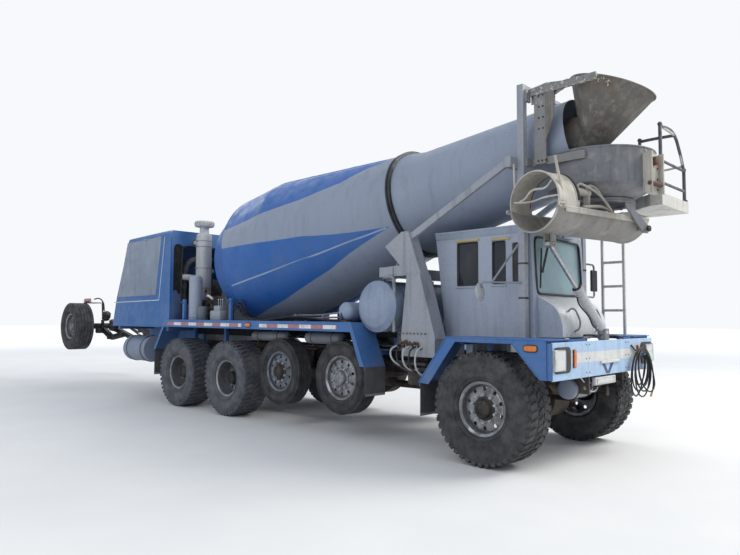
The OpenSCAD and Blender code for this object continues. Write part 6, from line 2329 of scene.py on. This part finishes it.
@dataclass
class CoiledHose:
    """Free hose, wound in layers into a coil that hangs on the bumper's peg."""

    middle: Point = (5.921, 0.74, 0.925)
    turn: float = 0.235
    thick: float = 0.017
    pitch: float = 0.0214
    layer: float = 0.0208
    steps: int = 24

    def route(self) -> list[Vector]:
        """Gives the points of its middle line, from the clip into the coil.

        Returns:
            The points.
        """
        points = [Vector(p) for p in ((5.862, 0.585, 1.212), (5.864, 0.612, 1.196), (5.867, 0.645, 1.168),
                (5.869, 0.69, 1.149))]
        wind = ((-0.05, -1.0), (-0.021, -1.0), (0.021, -1.0), (0.031, 0.0), (-0.031, 0.0), (-0.021, 1.0),
                (0.021, 1.0))
        share = (0.16, 0.042 / self.pitch, 0.25, 0.062 / self.pitch, 0.25, 0.042 / self.pitch)
        angle = 0.25
        for (x0, r0), (x1, r1), part in zip(wind, wind[1:], share):
            count = max(2, round(part * self.steps))
            for i in range(count):
                t = i / count
                a = math.tau * (angle - part * t)
                spread = 1 + 2.1 * ((1 - math.sin(a)) / 2) ** 1.5
                out = self.layer * (r0 + (r1 - r0) * t) * spread
                points.append(Vector((self.middle[0] + (x0 + (x1 - x0) * t) * spread, self.middle[1]
                        + (self.turn * 0.84 + out) * math.cos(a), self.middle[2] + (self.turn + out)
                        * math.sin(a))))
            angle -= part
        return points

    def fitting(self, end: Vector, along: Vector) -> bpy.types.Object:
        """Makes the brass end of the hose.

        Args:
            end: Last point of the hose.
            along: Its direction there.

        Returns:
            The object.
        """
        piece = Workpiece("hose_fitting", BRASS)
        place = placed(end - along * 0.02, along, (1, 0, 0))
        piece.lathe([(0, 0), (0.0105, 0.0), (0.0115, 0.003), (0.0115, 0.024), (0.0095, 0.027),
                (0.0095, 0.05), (0.006, 0.053), (0, 0.053)], place, 20)
        return piece.fit("truck", "trim_plastic")

    def build(self) -> None:
        points = self.route()
        curve = tube("hose_coil", self.thick / 2, 4, 3)
        spline = curve.splines.new("POLY")
        spline.points.add(len(points) - 1)
        for knot, point in zip(spline.points, points):
            knot.co = (*point, 1)
        curve.materials.append(SHOP.mix(HOSE_BLACK))
        piece = enter("hose_coil", curve)
        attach(piece, "truck")
        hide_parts("hose")
        end = self.fitting(points[-1], (points[-1] - points[-2]).normalized())


@dataclass
class FrameFinish:
    """Finishes of the frame's own nodes whose shapes stay; other nodes are replaced by their pieces."""

    def build(self) -> None:
        """Coats every node."""
        coats: dict[str, tuple[Finish, ...]] = {
            "frame_rails": (CHASSIS_IRON,), "front_axle": (AXLE_IRON,), "pusher_axles": (CHASSIS_IRON,),
                "drive_axles": (AXLE_IRON,),
            "engine_block": (ENGINE_IRON,), "hood": (HOOD_BLUE, CHASSIS_IRON),
                "side_fenders": (HOOD_BLUE,), "mudflaps": (FLAP_RUBBER,),
            "bumper": (HOOD_BLUE,), "cab_shell": (CAB_PAINT,), "cab_glass": (WINDOW_GLASS,),
                "cab_inside": (SEAT_CLOTH,),
            "cab_door": (CAB_PAINT, WINDOW_GLASS, BLACK_TRIM), "pedestals": (POST_PAINT, TRACK_IRON),
                "roller_right": (TRACK_IRON,),
            "roller_left": (TRACK_IRON,), "drum_drive": (POST_PAINT,), "tanks": (TANK_PAINT,),
            "hopper_frame": (FRAME_PAINT,), "charge_hopper": (HOPPER_STEEL,),
            "collector_bowl": (BOWL_STEEL,), "platform": (CREAM_PAINT, RAIL_METAL),
                "ladder": (CREAM_PAINT,),
            "chute_swivel": (BOWL_STEEL,), "main_chute": (CHUTE_STEEL,),
            "fold_chute": (CREAM_STEEL,), "lift_barrel": (PIPE_WHITE,), "lift_rod": (PLATED,),
                "booster_arm": (CHASSIS_IRON,),
            "knuckle_right": (AXLE_IRON,), "knuckle_left": (AXLE_IRON,),
        }
        for node, finishes in coats.items():
            SHOP.coat(node, *finishes)


def main() -> None:
    """Builds the studio and the truck's sub-assemblies in order."""
    logging.basicConfig(level=logging.INFO, format="%(message)s")
    Studio().build()
    CoiledHose().build()
    FrameFinish().build()
    MixerDrum().build()
    for wheel in road_wheels():
        wheel.build()
    for unit in (Hood(), SideDecks(), Bumper(), Lamps(), Cab(), FrontEnd(), Chassis()):
        unit.build()


if __name__ == "__main__":
    main()
